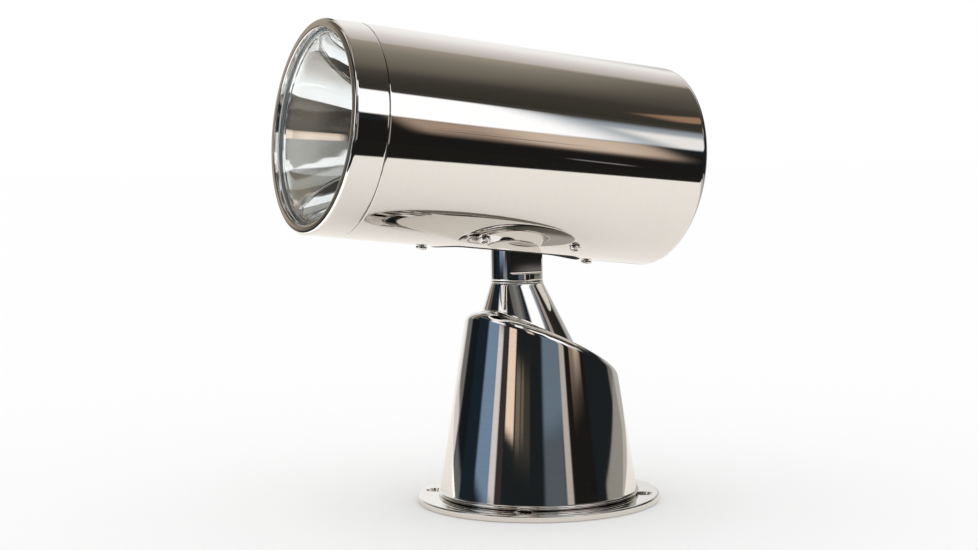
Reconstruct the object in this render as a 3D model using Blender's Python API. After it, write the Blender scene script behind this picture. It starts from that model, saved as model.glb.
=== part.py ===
"""Remote-controlled marine searchlight in polished stainless steel, in metres, +Z up.

The origin is the centre of the mounting flange's underside. The high side of the slanted base faces
-Y. The barrel pans about the post's vertical axis and tilts about a cross axle inside the barrel.
"""

import math

import bmesh
import bpy
from mathutils import Vector

# Clearances
SEAT_GAP = 0.0003
RUNNING_GAP = 0.0004
SCREW_CLEARANCE = 0.0003

# Facets round a full turn
WIDE_SIDES = 32
MIDDLE_SIDES = 20
SMALL_SIDES = 12
HEAD_SIDES = 10
SCREW_SIDES = 6

# Mounting flange
FLANGE_RADIUS = 0.0894
FLANGE_THICKNESS = 0.005
FLANGE_EDGE = 0.0013
MOUNT_HOLES = 4
MOUNT_HOLE_INSET = 0.0114
MOUNT_HOLE_RADIUS = 0.0035
COUNTERSINK_RADIUS = 0.0072
COUNTERSINK_DEPTH = 0.0037
REGISTER_HEIGHT = 0.003
REGISTER_WIDTH = 0.004
CABLE_HOLE_OFFSET = 0.046
CABLE_HOLE_RADIUS = 0.008
CABLE_BORE_RADIUS = 0.005
GROMMET_LIP = 0.0025

# Base cowl
GASKET_THICKNESS = 0.0012
COWL_FOOT_RADIUS = 0.0734
COWL_TAPER = math.radians(9.15)
COWL_WALL = 0.0025
COWL_BEAD = 0.001
COWL_BEAD_HEIGHT = 0.0026
TOP_HEIGHT = 0.119
TOP_SLOPE = math.radians(26.9)
RIM_RADIUS_FRONT = 0.0045
RIM_RADIUS_REAR = 0.008
NECK_FOOT_RADIUS = 0.0364
NECK_FOOT_OFFSET = 0.0059
NECK_FILLET = 0.0025
NECK_TOP_HEIGHT = 0.1621
NECK_TOP_RADIUS = 0.0195
NECK_CHAMFER = 0.0006
BOSS_WALL = 0.004
BOSS_DROP = 0.004
COWL_LUG_RADIUS = 0.0045
COWL_LUG_HEIGHT = 0.012
COWL_SCREW_RADIUS = 0.002
COWL_SCREW_HEAD = 0.004

# Post and its bearings
PAN_OFFSET = 0.0174
SHAFT_RADIUS = 0.012
SHAFT_BORE = 0.006
POST_RADIUS = 0.019
POST_FLAT = 0.014
POST_COLLAR = 0.0049
WASHER_THICKNESS = 0.0014
BUSH_WALL = 0.0027
SEAL_HEIGHT = 0.003
CLIP_DEPTH = 0.001
CLIP_THICKNESS = 0.0015
CLIP_WIDTH = 0.003
WIRE_EXIT_RADIUS = 0.005
WIRE_EXIT_DROP = 0.031

# Pan drive
PLATE_THICKNESS = 0.003
PLATE_EDGE_GAP = 0.0023
PILLAR_RADIUS = 0.004
PILLAR_INSET = 0.01
PILLAR_BEARINGS = (60.0, 180.0, 300.0)
PAN_MODULE = 0.0018
PAN_GEAR_TEETH = 36
PAN_PINION_TEETH = 10
PAN_GEAR_WIDTH = 0.008
PAN_GEAR_LIFT = 0.009
GEAR_ROOF_GAP = 0.0092
GEAR_HUB_WALL = 0.005
PAN_DRIVE_BEARING = math.radians(10.0)
PAN_MOTOR_RADIUS = 0.0145
MOTOR_FLOOR_GAP = 0.015
MOTOR_SHAFT_RADIUS = 0.003
MOTOR_SHAFT_DEPTH = 0.006

# Barrel
BARREL_RADIUS = 0.075
BARREL_WALL = 0.0015
BARREL_FRONT = 0.1608
BARREL_REAR = 0.1204
BARREL_CORNER = 0.006
BARREL_CLEARANCE = 0.0213
BEZEL_LENGTH = 0.0247
BEZEL_WALL = 0.004
BEZEL_EDGE = 0.0025
BEZEL_SPIGOT = 0.01
LIP_WIDTH = 0.0069
LIP_THICKNESS = 0.003
GASKET_WEB = 0.0009
GLASS_THICKNESS = 0.004
GLASS_EDGE = 0.0006
REFLECTOR_WALL = 0.0008
REFLECTOR_LEDGE = 0.0047
REFLECTOR_DEPTH = 0.08
REFLECTOR_NECK = 0.011
REFLECTOR_NECK_LENGTH = 0.004
RETAINER_LENGTH = 0.004
LAMP_RADIUS = 0.0055
LAMP_LENGTH = 0.022
HOLDER_LENGTH = 0.011
HOLDER_FLANGE = 0.0025

# Underside slot and the chassis screwed inside it
SLOT_HALF_LENGTH = 0.06
SLOT_HALF_WIDTH = 0.017
SLOT_SEAL = 0.0014
SADDLE_THICKNESS = 0.002
SADDLE_HALF_LENGTH = 0.076
SADDLE_HALF_FACETS = 3
TIP_SCREW_OFFSET = 0.0687
SIDE_SCREW_OFFSET = 0.0369
SIDE_SCREW_BEARING = math.radians(27.9)
SLOT_SCREW_RADIUS = 0.002
SLOT_SCREW_HEAD = 0.004
SLOT_SCREW_DOME = 0.0026
CHEEK_THICKNESS = 0.003
CHEEK_SPACING = 0.0215
CHEEK_EYE = 0.014
AXLE_RADIUS = 0.006
SHIELD_HALF_WIDTH = 0.0205
SHIELD_THICKNESS = 0.0012
SHIELD_DROP = 0.005
SHIELD_HALF_ARC = math.radians(62.0)

# Tilt drive
TILT_MODULE = 0.0015
SECTOR_TEETH = 56
SECTOR_SPAN = 12
TILT_PINION_TEETH = 10
SECTOR_WIDTH = 0.005
TILT_MOTOR_RADIUS = 0.014
TILT_MOTOR_END_GAP = 0.0094
DRIVE_SCREW_RADIUS = 0.0015
DRIVE_SCREW_HEAD = 0.0024
DRIVE_SCREW_HEIGHT = 0.0015
GEAR_BACKLASH = 0.00012
PRESSURE_ANGLE = math.radians(20.0)

# Pose in which the searchlight stands
PAN_AT_REST = math.radians(-7.5)
PITCH_AT_REST = math.radians(6.6)

# Heights and radii that follow from the sizes above
COWL_BOTTOM = FLANGE_THICKNESS + GASKET_THICKNESS + 2 * SEAT_GAP
BUSH_BORE = SHAFT_RADIUS + RUNNING_GAP
NECK_BORE = BUSH_BORE + BUSH_WALL + SEAT_GAP
WASHER_BOTTOM = NECK_TOP_HEIGHT + SEAT_GAP
COLLAR_BOTTOM = WASHER_BOTTOM + WASHER_THICKNESS + SEAT_GAP
SHOULDER_HEIGHT = COLLAR_BOTTOM + POST_COLLAR
PIVOT_HEIGHT = NECK_TOP_HEIGHT + BARREL_CLEARANCE + BARREL_RADIUS
ROOF_DROP = COWL_WALL / math.cos(TOP_SLOPE)
BOSS_RADIUS = NECK_BORE + BOSS_WALL
BOSS_BOTTOM = TOP_HEIGHT - math.tan(TOP_SLOPE) * (BOSS_RADIUS - PAN_OFFSET) - ROOF_DROP - BOSS_DROP
PAN_GEAR_HEIGHT = BOSS_BOTTOM - GEAR_ROOF_GAP - PAN_GEAR_WIDTH
PLATE_TOP = PAN_GEAR_HEIGHT - PAN_GEAR_LIFT
PLATE_HEIGHT = PLATE_TOP - PLATE_THICKNESS
COWL_INSIDE = COWL_FOOT_RADIUS - COWL_WALL / math.cos(COWL_TAPER)
PLATE_RADIUS = COWL_INSIDE - math.tan(COWL_TAPER) * (PLATE_TOP - COWL_BOTTOM) - PLATE_EDGE_GAP
PILLAR_CIRCLE = PLATE_RADIUS - PILLAR_INSET
PAN_MOTOR_LENGTH = PLATE_HEIGHT - FLANGE_THICKNESS - MOTOR_FLOOR_GAP
MOUNT_HOLE_CIRCLE = FLANGE_RADIUS - MOUNT_HOLE_INSET
PAN_GEAR_RADIUS = PAN_MODULE * PAN_GEAR_TEETH / 2
PAN_PINION_RADIUS = PAN_MODULE * PAN_PINION_TEETH / 2
PAN_CENTRES = PAN_GEAR_RADIUS + PAN_PINION_RADIUS
CLIP_HEIGHT = PLATE_HEIGHT - BUSH_WALL / 2 - SEAT_GAP - CLIP_THICKNESS
SHAFT_END = CLIP_HEIGHT - 2 * CLIP_THICKNESS
BARREL_BORE = BARREL_RADIUS - BARREL_WALL
SEAM = BARREL_FRONT - BEZEL_LENGTH
LIP_RADIUS = BARREL_RADIUS - LIP_WIDTH
BEZEL_BORE = BARREL_RADIUS - BEZEL_WALL
SPIGOT_RADIUS = BARREL_BORE - SEAT_GAP
LENS_GASKET_RADIUS = BEZEL_BORE - SEAT_GAP
GLASS_RADIUS = LENS_GASKET_RADIUS - GASKET_WEB - SEAT_GAP
GASKET_FRONT = BARREL_FRONT - LIP_THICKNESS - SEAT_GAP
GLASS_FRONT = GASKET_FRONT - GASKET_WEB - SEAT_GAP
GLASS_BACK = GLASS_FRONT - GLASS_THICKNESS
GASKET_BACK = GLASS_BACK
REFLECTOR_FRONT = GASKET_BACK - SEAT_GAP
REFLECTOR_RIM = LENS_GASKET_RADIUS - REFLECTOR_LEDGE
REFLECTOR_FOCUS = REFLECTOR_RIM ** 2 / (4 * REFLECTOR_DEPTH)
REFLECTOR_VERTEX = REFLECTOR_FRONT - REFLECTOR_DEPTH
SADDLE_OUTER = BARREL_BORE - SEAT_GAP
SADDLE_INNER = SADDLE_OUTER - SADDLE_THICKNESS
SECTOR_RADIUS = TILT_MODULE * SECTOR_TEETH / 2
TILT_PINION_RADIUS = TILT_MODULE * TILT_PINION_TEETH / 2
TILT_CENTRES = SECTOR_RADIUS + TILT_PINION_RADIUS
SHIELD_RADIUS = math.sqrt(SADDLE_INNER ** 2 - SHIELD_HALF_WIDTH ** 2) - SHIELD_DROP
COLLAR_FLANGE = CHEEK_SPACING - SEAT_GAP
TILT_MOTOR_FACE = CHEEK_SPACING + CHEEK_THICKNESS + SEAT_GAP
TILT_MOTOR_REACH = math.sqrt(BARREL_BORE ** 2 - TILT_MOTOR_RADIUS ** 2) - TILT_MOTOR_END_GAP
TILT_MOTOR_LENGTH = TILT_MOTOR_REACH - TILT_MOTOR_FACE
AXLE_BUSH_RADIUS = AXLE_RADIUS + RUNNING_GAP + BUSH_WALL / 2


def clear_scene():
    for obj in list(bpy.data.objects):
        bpy.data.objects.remove(obj)


def principled(name, colour, roughness, metallic, alpha=1.0):
    made = bpy.data.materials.new(name)
    made.use_nodes = True
    shader = made.node_tree.nodes["Principled BSDF"]
    shader.inputs["Base Color"].default_value = (*colour, 1.0)
    shader.inputs["Roughness"].default_value = roughness
    shader.inputs["Metallic"].default_value = metallic
    shader.inputs["Alpha"].default_value = alpha
    return made


def add_empty(name, location, rotation=(0, 0, 0), parent=None):
    made = bpy.data.objects.new(name, None)
    bpy.context.collection.objects.link(made)
    made.parent = parent
    made.location = location
    made.rotation_euler = rotation
    return made


def add_mesh(name, shape, finish, parent=None, location=(0, 0, 0), rotation=(0, 0, 0)):
    """Turns a bmesh into a named object, placed in its parent's space."""
    bmesh.ops.recalc_face_normals(shape, faces=shape.faces)
    mesh = bpy.data.meshes.new(name)
    shape.to_mesh(mesh)
    shape.free()
    mesh.shade_smooth()
    mesh.set_sharp_from_angle(angle=math.radians(32))
    mesh.materials.append(finish)
    made = bpy.data.objects.new(name, mesh)
    bpy.context.collection.objects.link(made)
    made.parent = parent
    made.location = location
    made.rotation_euler = rotation
    return made


def as_helper(obj):
    obj.hide_render = True
    obj.display_type = "WIRE"
    return obj


def combine(obj, helper, operation):
    as_helper(helper)
    made = obj.modifiers.new(operation.title(), "BOOLEAN")
    made.operation = operation
    made.solver = "EXACT"
    made.object = helper
    return obj


def turned(profile, sides, axis="Z"):
    """Spins a closed outline of (radius, height) round an axis."""
    shape = bmesh.new()
    spots = {
        "X": lambda radius, height: (height, radius, 0),
        "Y": lambda radius, height: (0, height, radius),
        "Z": lambda radius, height: (radius, 0, height),
    }
    turn = {"X": (1, 0, 0), "Y": (0, 1, 0), "Z": (0, 0, 1)}
    verts = [shape.verts.new(spots[axis](*point)) for point in profile]
    edges = [shape.edges.new(pair) for pair in zip(verts, verts[1:] + verts[:1])]
    bmesh.ops.spin(
        shape, geom=verts + edges, cent=(0, 0, 0), axis=turn[axis], angle=math.tau, steps=sides
    )
    bmesh.ops.remove_doubles(shape, verts=shape.verts, dist=1e-6)
    on_axis = [edge for edge in shape.edges if not edge.link_faces]
    bmesh.ops.delete(shape, geom=on_axis, context="EDGES")
    shape.normal_update()
    centres = [vert for vert in shape.verts if len(vert.link_faces) == sides and lies_flat(vert)]
    bmesh.ops.dissolve_verts(shape, verts=centres)
    return shape


def lies_flat(vert):
    """Whether the faces round a vertex lie in one plane, as in the middle of a flat end."""
    first = vert.link_faces[0].normal
    return all(abs(face.normal.dot(first)) > 0.99999 for face in vert.link_faces)


def extruded(outline, low, high, axis="Z"):
    """Extrudes a closed outline along an axis, from low to high."""
    spots = {
        "X": lambda point: (low, point[0], point[1]),
        "Y": lambda point: (point[0], low, point[1]),
        "Z": lambda point: (point[0], point[1], low),
    }
    along = {"X": (1, 0, 0), "Y": (0, 1, 0), "Z": (0, 0, 1)}
    shape = bmesh.new()
    face = shape.faces.new([shape.verts.new(spots[axis](point)) for point in outline])
    grown = bmesh.ops.extrude_face_region(shape, geom=[face])["geom"]
    moved = [item for item in grown if isinstance(item, bmesh.types.BMVert)]
    bmesh.ops.translate(shape, verts=moved, vec=Vector(along[axis]) * (high - low))
    return shape


def lofted(rings):
    """Skins a closed series of rings, the last joined to the first."""
    shape = bmesh.new()
    loops = [[shape.verts.new(point) for point in ring] for ring in rings]
    for lower, upper in zip(loops, loops[1:] + loops[:1]):
        for index, corner in enumerate(lower):
            following = (index + 1) % len(lower)
            shape.faces.new((corner, lower[following], upper[following], upper[index]))
    return shape


def arc(centre, radius, start, end, count):
    """Points on an arc, angles in radians, both ends included."""
    angles = [start + (end - start) * step / (count - 1) for step in range(count)]
    return [(centre[0] + radius * math.cos(a), centre[1] + radius * math.sin(a)) for a in angles]


def round_corner(corner, towards_a, towards_b, radius, count):
    """Points of the arc that rounds a corner between two directions, from the a side to the b side."""
    towards_a = towards_a.normalized()
    towards_b = towards_b.normalized()
    middle = (towards_a + towards_b).normalized()
    half = towards_a.angle(towards_b) / 2
    centre = corner + middle * radius / math.sin(half)
    across = (towards_b - towards_a).normalized()
    sweep = math.pi / 2 - half
    angles = [sweep * (2 * index / (count - 1) - 1) for index in range(count)]
    return [centre + radius * (across * math.sin(a) - middle * math.cos(a)) for a in angles]


def oval(half_length, half_width, count=8):
    """A slot outline with round ends, long way along the second coordinate."""
    straight = half_length - half_width
    far = arc((0, straight), half_width, 0, math.pi, count)
    near = arc((0, -straight), half_width, math.pi, math.tau, count)
    return far + near


def involute(angle):
    return math.tan(angle) - angle


def tooth_half_angle(radius, pitch_radius, teeth):
    """Half the angle that a tooth fills at a radius, with its share of the backlash taken off."""
    base_radius = pitch_radius * math.cos(PRESSURE_ANGLE)
    slope = math.acos(min(1.0, base_radius / radius))
    full = math.pi / (2 * teeth) + involute(PRESSURE_ANGLE) - involute(slope)
    return full - GEAR_BACKLASH / (2 * pitch_radius)


def tooth_outline(teeth, module, bearing):
    """The points of one tooth centred on a bearing, from root to tip and back to root."""
    pitch_radius = module * teeth / 2
    radii = [pitch_radius + module * share for share in (-1.2, 0.0, 0.92)]
    rising = [(r, bearing - tooth_half_angle(r, pitch_radius, teeth)) for r in radii]
    falling = [(r, 2 * bearing - angle) for r, angle in reversed(rising)]
    return [(r * math.cos(a), r * math.sin(a)) for r, a in rising + falling]


def gear_outline(teeth, module, bearing=0.0):
    step = math.tau / teeth
    return [p for tooth in range(teeth) for p in tooth_outline(teeth, module, bearing + tooth * step)]


def ring_profile(inner, outer, low, high):
    return [(inner, low), (outer, low), (outer, high), (inner, high)]


def rod_profile(radius, low, high):
    return [(0, low), (radius, low), (radius, high), (0, high)]


def bearing_point(radius, bearing):
    return (radius * math.cos(bearing), radius * math.sin(bearing))


def drill(obj, radius, low, high, place, sides=SCREW_SIDES, axis="Z", parent=None):
    """Cuts a round hole along an axis through a place."""
    tool = add_mesh(
        f"{obj.name}_drill", turned(rod_profile(radius, low, high), sides, axis), obj.active_material,
        parent, place,
    )
    return combine(obj, tool, "DIFFERENCE")


# Flange and cowl


def top_height(y):
    """Height of the cowl's slanted top at a distance behind the centre."""
    return TOP_HEIGHT - math.tan(TOP_SLOPE) * y


def make_flange(steel):
    register_outer = COWL_FOOT_RADIUS - COWL_WALL - COWL_BEAD - SEAT_GAP
    profile = [
        (0, 0),
        (FLANGE_RADIUS, 0),
        (FLANGE_RADIUS, FLANGE_THICKNESS - FLANGE_EDGE),
        (FLANGE_RADIUS - 0.3 * FLANGE_EDGE, FLANGE_THICKNESS - 0.3 * FLANGE_EDGE),
        (FLANGE_RADIUS - FLANGE_EDGE, FLANGE_THICKNESS),
        (register_outer, FLANGE_THICKNESS),
        (register_outer, FLANGE_THICKNESS + REGISTER_HEIGHT),
        (register_outer - REGISTER_WIDTH, FLANGE_THICKNESS + REGISTER_HEIGHT),
        (register_outer - REGISTER_WIDTH, FLANGE_THICKNESS),
        (0, FLANGE_THICKNESS),
    ]
    flange = add_mesh("mounting_flange", turned(profile, WIDE_SIDES), steel)
    sink = FLANGE_THICKNESS - COUNTERSINK_DEPTH
    past = FLANGE_THICKNESS
    slope = (COUNTERSINK_RADIUS - MOUNT_HOLE_RADIUS) / COUNTERSINK_DEPTH
    hole = [
        (0, -past),
        (MOUNT_HOLE_RADIUS, -past),
        (MOUNT_HOLE_RADIUS, sink),
        (COUNTERSINK_RADIUS + slope * past, FLANGE_THICKNESS + past),
        (0, FLANGE_THICKNESS + past),
    ]
    for number in range(MOUNT_HOLES):
        bearing = math.tau * (number + 0.5) / MOUNT_HOLES
        place = (*bearing_point(MOUNT_HOLE_CIRCLE, bearing), 0)
        tool = add_mesh("mount_hole_tool", turned(hole, SMALL_SIDES), steel, None, place)
        combine(flange, tool, "DIFFERENCE")
    drill(flange, CABLE_HOLE_RADIUS, -past, 3 * past, (0, CABLE_HOLE_OFFSET, 0), SMALL_SIDES)
    head = COWL_SCREW_HEAD + SCREW_CLEARANCE
    shank = COWL_SCREW_RADIUS + SCREW_CLEARANCE
    seat = cowl_screw_seat()
    pocket = [(0, -past), (head, -past), (head, seat), (shank, seat), (shank, 3 * past), (0, 3 * past)]
    for place in cowl_screw_places():
        tool = add_mesh("cowl_screw_tool", turned(pocket, SCREW_SIDES), steel, None, place)
        combine(flange, tool, "DIFFERENCE")
    return flange


def cowl_screw_seat():
    """Height of the pocket that sinks each cowl screw's head into the flange's underside."""
    return FLANGE_THICKNESS / 2 + SEAT_GAP


def cowl_screw_places():
    """Screws that come up through the flange into the cowl's inner lugs."""
    inner = COWL_FOOT_RADIUS - COWL_WALL - COWL_BEAD - SEAT_GAP - REGISTER_WIDTH
    circle = inner - COWL_LUG_RADIUS - SEAT_GAP
    return [(*bearing_point(circle, math.tau * number / 4), 0) for number in range(4)]


def make_base_gasket(rubber):
    outer = COWL_FOOT_RADIUS - 2 * SEAT_GAP
    inner = COWL_FOOT_RADIUS - COWL_WALL - COWL_BEAD + SEAT_GAP
    low = FLANGE_THICKNESS + SEAT_GAP
    profile = ring_profile(inner, outer, low, low + GASKET_THICKNESS)
    return add_mesh("base_gasket", turned(profile, WIDE_SIDES), rubber)


def cowl_outer_rings():
    """The cowl's outside from its foot to the top of its neck."""
    turns = [math.tau * step / WIDE_SIDES for step in range(WIDE_SIDES)]
    lean = math.tan(COWL_TAPER)
    bead = COWL_FOOT_RADIUS + COWL_BEAD
    foot = [
        (bead - COWL_BEAD / 2, COWL_BOTTOM),
        (bead, COWL_BOTTOM + COWL_BEAD / 2),
        (bead, COWL_BOTTOM + COWL_BEAD_HEIGHT - COWL_BEAD),
        (COWL_FOOT_RADIUS, COWL_BOTTOM + COWL_BEAD_HEIGHT),
    ]
    rings = [[(r * math.cos(t), r * math.sin(t), z) for t in turns] for r, z in foot]
    rim = []
    root = []
    for t in turns:
        out = Vector((math.cos(t), math.sin(t), 0))
        fall = math.tan(TOP_SLOPE) * math.sin(t)
        radius = (COWL_FOOT_RADIUS - lean * (TOP_HEIGHT - COWL_BOTTOM)) / (1 - lean * fall)
        corner = out * radius + Vector((0, 0, TOP_HEIGHT - fall * radius))
        down = out * lean - Vector((0, 0, 1))
        inward = Vector((0, 0, fall)) - out
        share = (1 + math.sin(t)) / 2
        radius = RIM_RADIUS_FRONT + (RIM_RADIUS_REAR - RIM_RADIUS_FRONT) * share
        rim.append(round_corner(corner, down, inward, radius, 5))
        base = Vector((0, -NECK_FOOT_OFFSET, 0)) + out * NECK_FOOT_RADIUS
        base.z = top_height(base.y)
        crown = Vector((0, -PAN_OFFSET, NECK_TOP_HEIGHT)) + out * NECK_TOP_RADIUS
        root.append(round_corner(base, -inward, crown - base, NECK_FILLET, 3))
    rings += [list(ring) for ring in zip(*rim)]
    rings += [list(ring) for ring in zip(*root)]
    for inset, drop in ((0, NECK_CHAMFER), (NECK_CHAMFER, 0)):
        radius = NECK_TOP_RADIUS - inset
        height = NECK_TOP_HEIGHT - drop
        rings.append(
            [(radius * math.cos(t), radius * math.sin(t) - PAN_OFFSET, height) for t in turns]
        )
    return rings


def cowl_inner_rings():
    """The neck's bore, the boss below it and the shell's inside, down to the foot."""
    turns = [math.tau * step / WIDE_SIDES for step in range(WIDE_SIDES)]
    lean = math.tan(COWL_TAPER)
    rings = []
    boss = ((NECK_BORE, NECK_TOP_HEIGHT), (NECK_BORE, BOSS_BOTTOM), (BOSS_RADIUS, BOSS_BOTTOM))
    for radius, height in boss:
        rings.append(
            [(radius * math.cos(t), radius * math.sin(t) - PAN_OFFSET, height) for t in turns]
        )
    root = []
    corner = []
    roof = TOP_HEIGHT - ROOF_DROP
    for t in turns:
        x, y = BOSS_RADIUS * math.cos(t), BOSS_RADIUS * math.sin(t) - PAN_OFFSET
        root.append((x, y, top_height(y) - ROOF_DROP))
        fall = math.tan(TOP_SLOPE) * math.sin(t)
        radius = (COWL_INSIDE - lean * (roof - COWL_BOTTOM)) / (1 - lean * fall)
        corner.append((radius * math.cos(t), radius * math.sin(t), roof - fall * radius))
    rings += [root, corner]
    inside = COWL_FOOT_RADIUS - COWL_WALL - COWL_BEAD / 2
    lip = COWL_INSIDE - lean * COWL_BEAD_HEIGHT
    for radius, height in ((lip, COWL_BOTTOM + COWL_BEAD_HEIGHT), (inside, COWL_BOTTOM)):
        rings.append([(radius * math.cos(t), radius * math.sin(t), height) for t in turns])
    return rings


def make_cowl(steel):
    """The cast cowl: a tapered drum with a slanted top that runs up into the leaning neck."""
    cowl = add_mesh("base_cowl", lofted(cowl_outer_rings() + cowl_inner_rings()), steel)
    low = FLANGE_THICKNESS + SEAT_GAP
    for number, (x, y, _) in enumerate(cowl_screw_places()):
        out = Vector((x, y)).normalized()
        side = Vector((-out.y, out.x))
        centre = Vector((x, y))
        reach = COWL_FOOT_RADIUS - COWL_WALL / 2
        foot = low + REGISTER_HEIGHT + SEAT_GAP
        outline = []
        back = centre - out * COWL_LUG_RADIUS
        for spot in (
            back - side * COWL_LUG_RADIUS,
            out * (reach - math.tan(COWL_TAPER) * COWL_LUG_HEIGHT) - side * COWL_LUG_RADIUS,
            out * (reach - math.tan(COWL_TAPER) * COWL_LUG_HEIGHT) + side * COWL_LUG_RADIUS,
            back + side * COWL_LUG_RADIUS,
        ):
            outline.append((spot.x, spot.y))
        lug = add_mesh(f"cowl_lug_{number}", extruded(outline, foot, foot + COWL_LUG_HEIGHT), steel)
        combine(cowl, lug, "UNION")
    for place in cowl_screw_places():
        top = FLANGE_THICKNESS + REGISTER_HEIGHT + COWL_LUG_HEIGHT / 2
        drill(cowl, COWL_SCREW_RADIUS + SCREW_CLEARANCE, -low, top, place)
    return cowl


def make_cowl_screws(steel):
    head_top = cowl_screw_seat() - SEAT_GAP
    length = FLANGE_THICKNESS + REGISTER_HEIGHT + COWL_LUG_HEIGHT / 2 - SEAT_GAP
    profile = [
        (0, SEAT_GAP),
        (COWL_SCREW_HEAD, SEAT_GAP),
        (COWL_SCREW_HEAD, head_top),
        (COWL_SCREW_RADIUS, head_top),
        (COWL_SCREW_RADIUS, length),
        (0, length),
    ]
    for number, place in enumerate(cowl_screw_places(), start=1):
        add_mesh(f"cowl_screw_{number}", turned(profile, SCREW_SIDES), steel, None, place)


def make_grommet(rubber):
    """The rubber grommet that lines the flange's cable hole."""
    outer = CABLE_HOLE_RADIUS - SEAT_GAP
    top = FLANGE_THICKNESS + SEAT_GAP
    profile = [
        (CABLE_BORE_RADIUS, SEAT_GAP),
        (outer, SEAT_GAP),
        (outer, top),
        (outer + GROMMET_LIP, top),
        (outer + GROMMET_LIP / 2, top + GROMMET_LIP),
        (CABLE_BORE_RADIUS, top + GROMMET_LIP),
    ]
    place = (0, CABLE_HOLE_OFFSET, 0)
    return add_mesh("cable_grommet", turned(profile, SMALL_SIDES), rubber, None, place)


# Pan bearings and drive


def make_neck_bearing(bronze, rubber, steel, parent):
    """Bush, lip seal and thrust washer in the top of the neck."""
    seal_top = NECK_TOP_HEIGHT - SEAT_GAP
    bush_top = seal_top - SEAL_HEIGHT - SEAT_GAP
    outer = NECK_BORE - SEAT_GAP
    bush = ring_profile(BUSH_BORE, outer, BOSS_BOTTOM, bush_top)
    seal = ring_profile(BUSH_BORE, outer, bush_top + SEAT_GAP, seal_top)
    washer = ring_profile(
        BUSH_BORE, POST_RADIUS + SEAT_GAP, WASHER_BOTTOM, WASHER_BOTTOM + WASHER_THICKNESS
    )
    add_mesh("neck_bush", turned(bush, MIDDLE_SIDES), bronze, parent)
    add_mesh("neck_seal", turned(seal, MIDDLE_SIDES), rubber, parent)
    add_mesh("thrust_washer", turned(washer, MIDDLE_SIDES), steel, parent)


def pan_motor_place():
    x, y = bearing_point(PAN_CENTRES, PAN_DRIVE_BEARING)
    return (x, y - PAN_OFFSET, 0)


def drive_screw_places(centre, radius):
    """Two screws on either side of a motor's shaft."""
    reach = radius - DRIVE_SCREW_HEAD - SEAT_GAP
    return [(centre[0], centre[1] + side * reach, 0) for side in (-1, 1)]


def make_drive_plate(aluminium, steel):
    """The plate on three pillars that carries the pan motor and the shaft's lower bush."""
    profile = rod_profile(PLATE_RADIUS, PLATE_HEIGHT, PLATE_TOP)
    plate = add_mesh("drive_plate", turned(profile, MIDDLE_SIDES), aluminium)
    below, above = PLATE_HEIGHT - PLATE_THICKNESS, PLATE_TOP + PLATE_THICKNESS
    drill(plate, BUSH_BORE + BUSH_WALL / 2 + SEAT_GAP, below, above, (0, -PAN_OFFSET, 0), MIDDLE_SIDES)
    motor = pan_motor_place()
    drill(plate, 2 * MOTOR_SHAFT_RADIUS, below, above, motor, SMALL_SIDES)
    for place in drive_screw_places(motor, PAN_MOTOR_RADIUS):
        drill(plate, DRIVE_SCREW_RADIUS + SCREW_CLEARANCE, below, above, place)
    drill(plate, CABLE_HOLE_RADIUS, below, above, (0, PILLAR_CIRCLE / 2, 0), SMALL_SIDES)
    low = FLANGE_THICKNESS + SEAT_GAP
    high = PLATE_HEIGHT - SEAT_GAP
    screw = [
        (0, high - COWL_LUG_HEIGHT),
        (COWL_SCREW_RADIUS, high - COWL_LUG_HEIGHT),
        (COWL_SCREW_RADIUS, PLATE_TOP + SEAT_GAP),
        (COWL_SCREW_HEAD, PLATE_TOP + SEAT_GAP),
        (0.6 * COWL_SCREW_HEAD, PLATE_TOP + COWL_SCREW_RADIUS),
        (0, PLATE_TOP + COWL_SCREW_RADIUS),
    ]
    for number, degrees in enumerate(PILLAR_BEARINGS, start=1):
        x, y = bearing_point(PILLAR_CIRCLE, math.radians(degrees))
        pillar = add_mesh(
            f"pillar_{number}", turned(rod_profile(PILLAR_RADIUS, low, high), 6), steel, None, (x, y, 0)
        )
        depth = high - COWL_LUG_HEIGHT - SEAT_GAP
        drill(pillar, COWL_SCREW_RADIUS + SCREW_CLEARANCE, depth, above, (x, y, 0))
        drill(plate, COWL_SCREW_RADIUS + SCREW_CLEARANCE, below, above, (x, y, 0))
        add_mesh(f"pillar_screw_{number}", turned(screw, SCREW_SIDES), steel, None, (x, y, 0))


def make_lower_bush(bronze, parent):
    sleeve = BUSH_BORE + BUSH_WALL / 2
    low = PLATE_HEIGHT - BUSH_WALL / 2
    top = PLATE_TOP + SEAT_GAP
    profile = [
        (BUSH_BORE, low),
        (sleeve, low),
        (sleeve, top),
        (sleeve + BUSH_WALL, top),
        (sleeve + BUSH_WALL, top + BUSH_WALL / 2),
        (BUSH_BORE, top + BUSH_WALL / 2),
    ]
    add_mesh("lower_bush", turned(profile, MIDDLE_SIDES), bronze, parent)


def motor_profile(radius, length, top, wire_end):
    """Gear head, motor can and end cap below a mounting face, with a hole for the output shaft."""
    can = radius - 0.001
    head = 0.4 * length
    shaft = MOTOR_SHAFT_RADIUS + RUNNING_GAP
    return [
        (0, top - length),
        (wire_end, top - length),
        (wire_end, top - length + 0.002),
        (can, top - length + 0.002),
        (can, top - head),
        (radius, top - head),
        (radius, top),
        (shaft, top),
        (shaft, top - MOTOR_SHAFT_DEPTH - SEAT_GAP),
        (0, top - MOTOR_SHAFT_DEPTH - SEAT_GAP),
    ]


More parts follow.
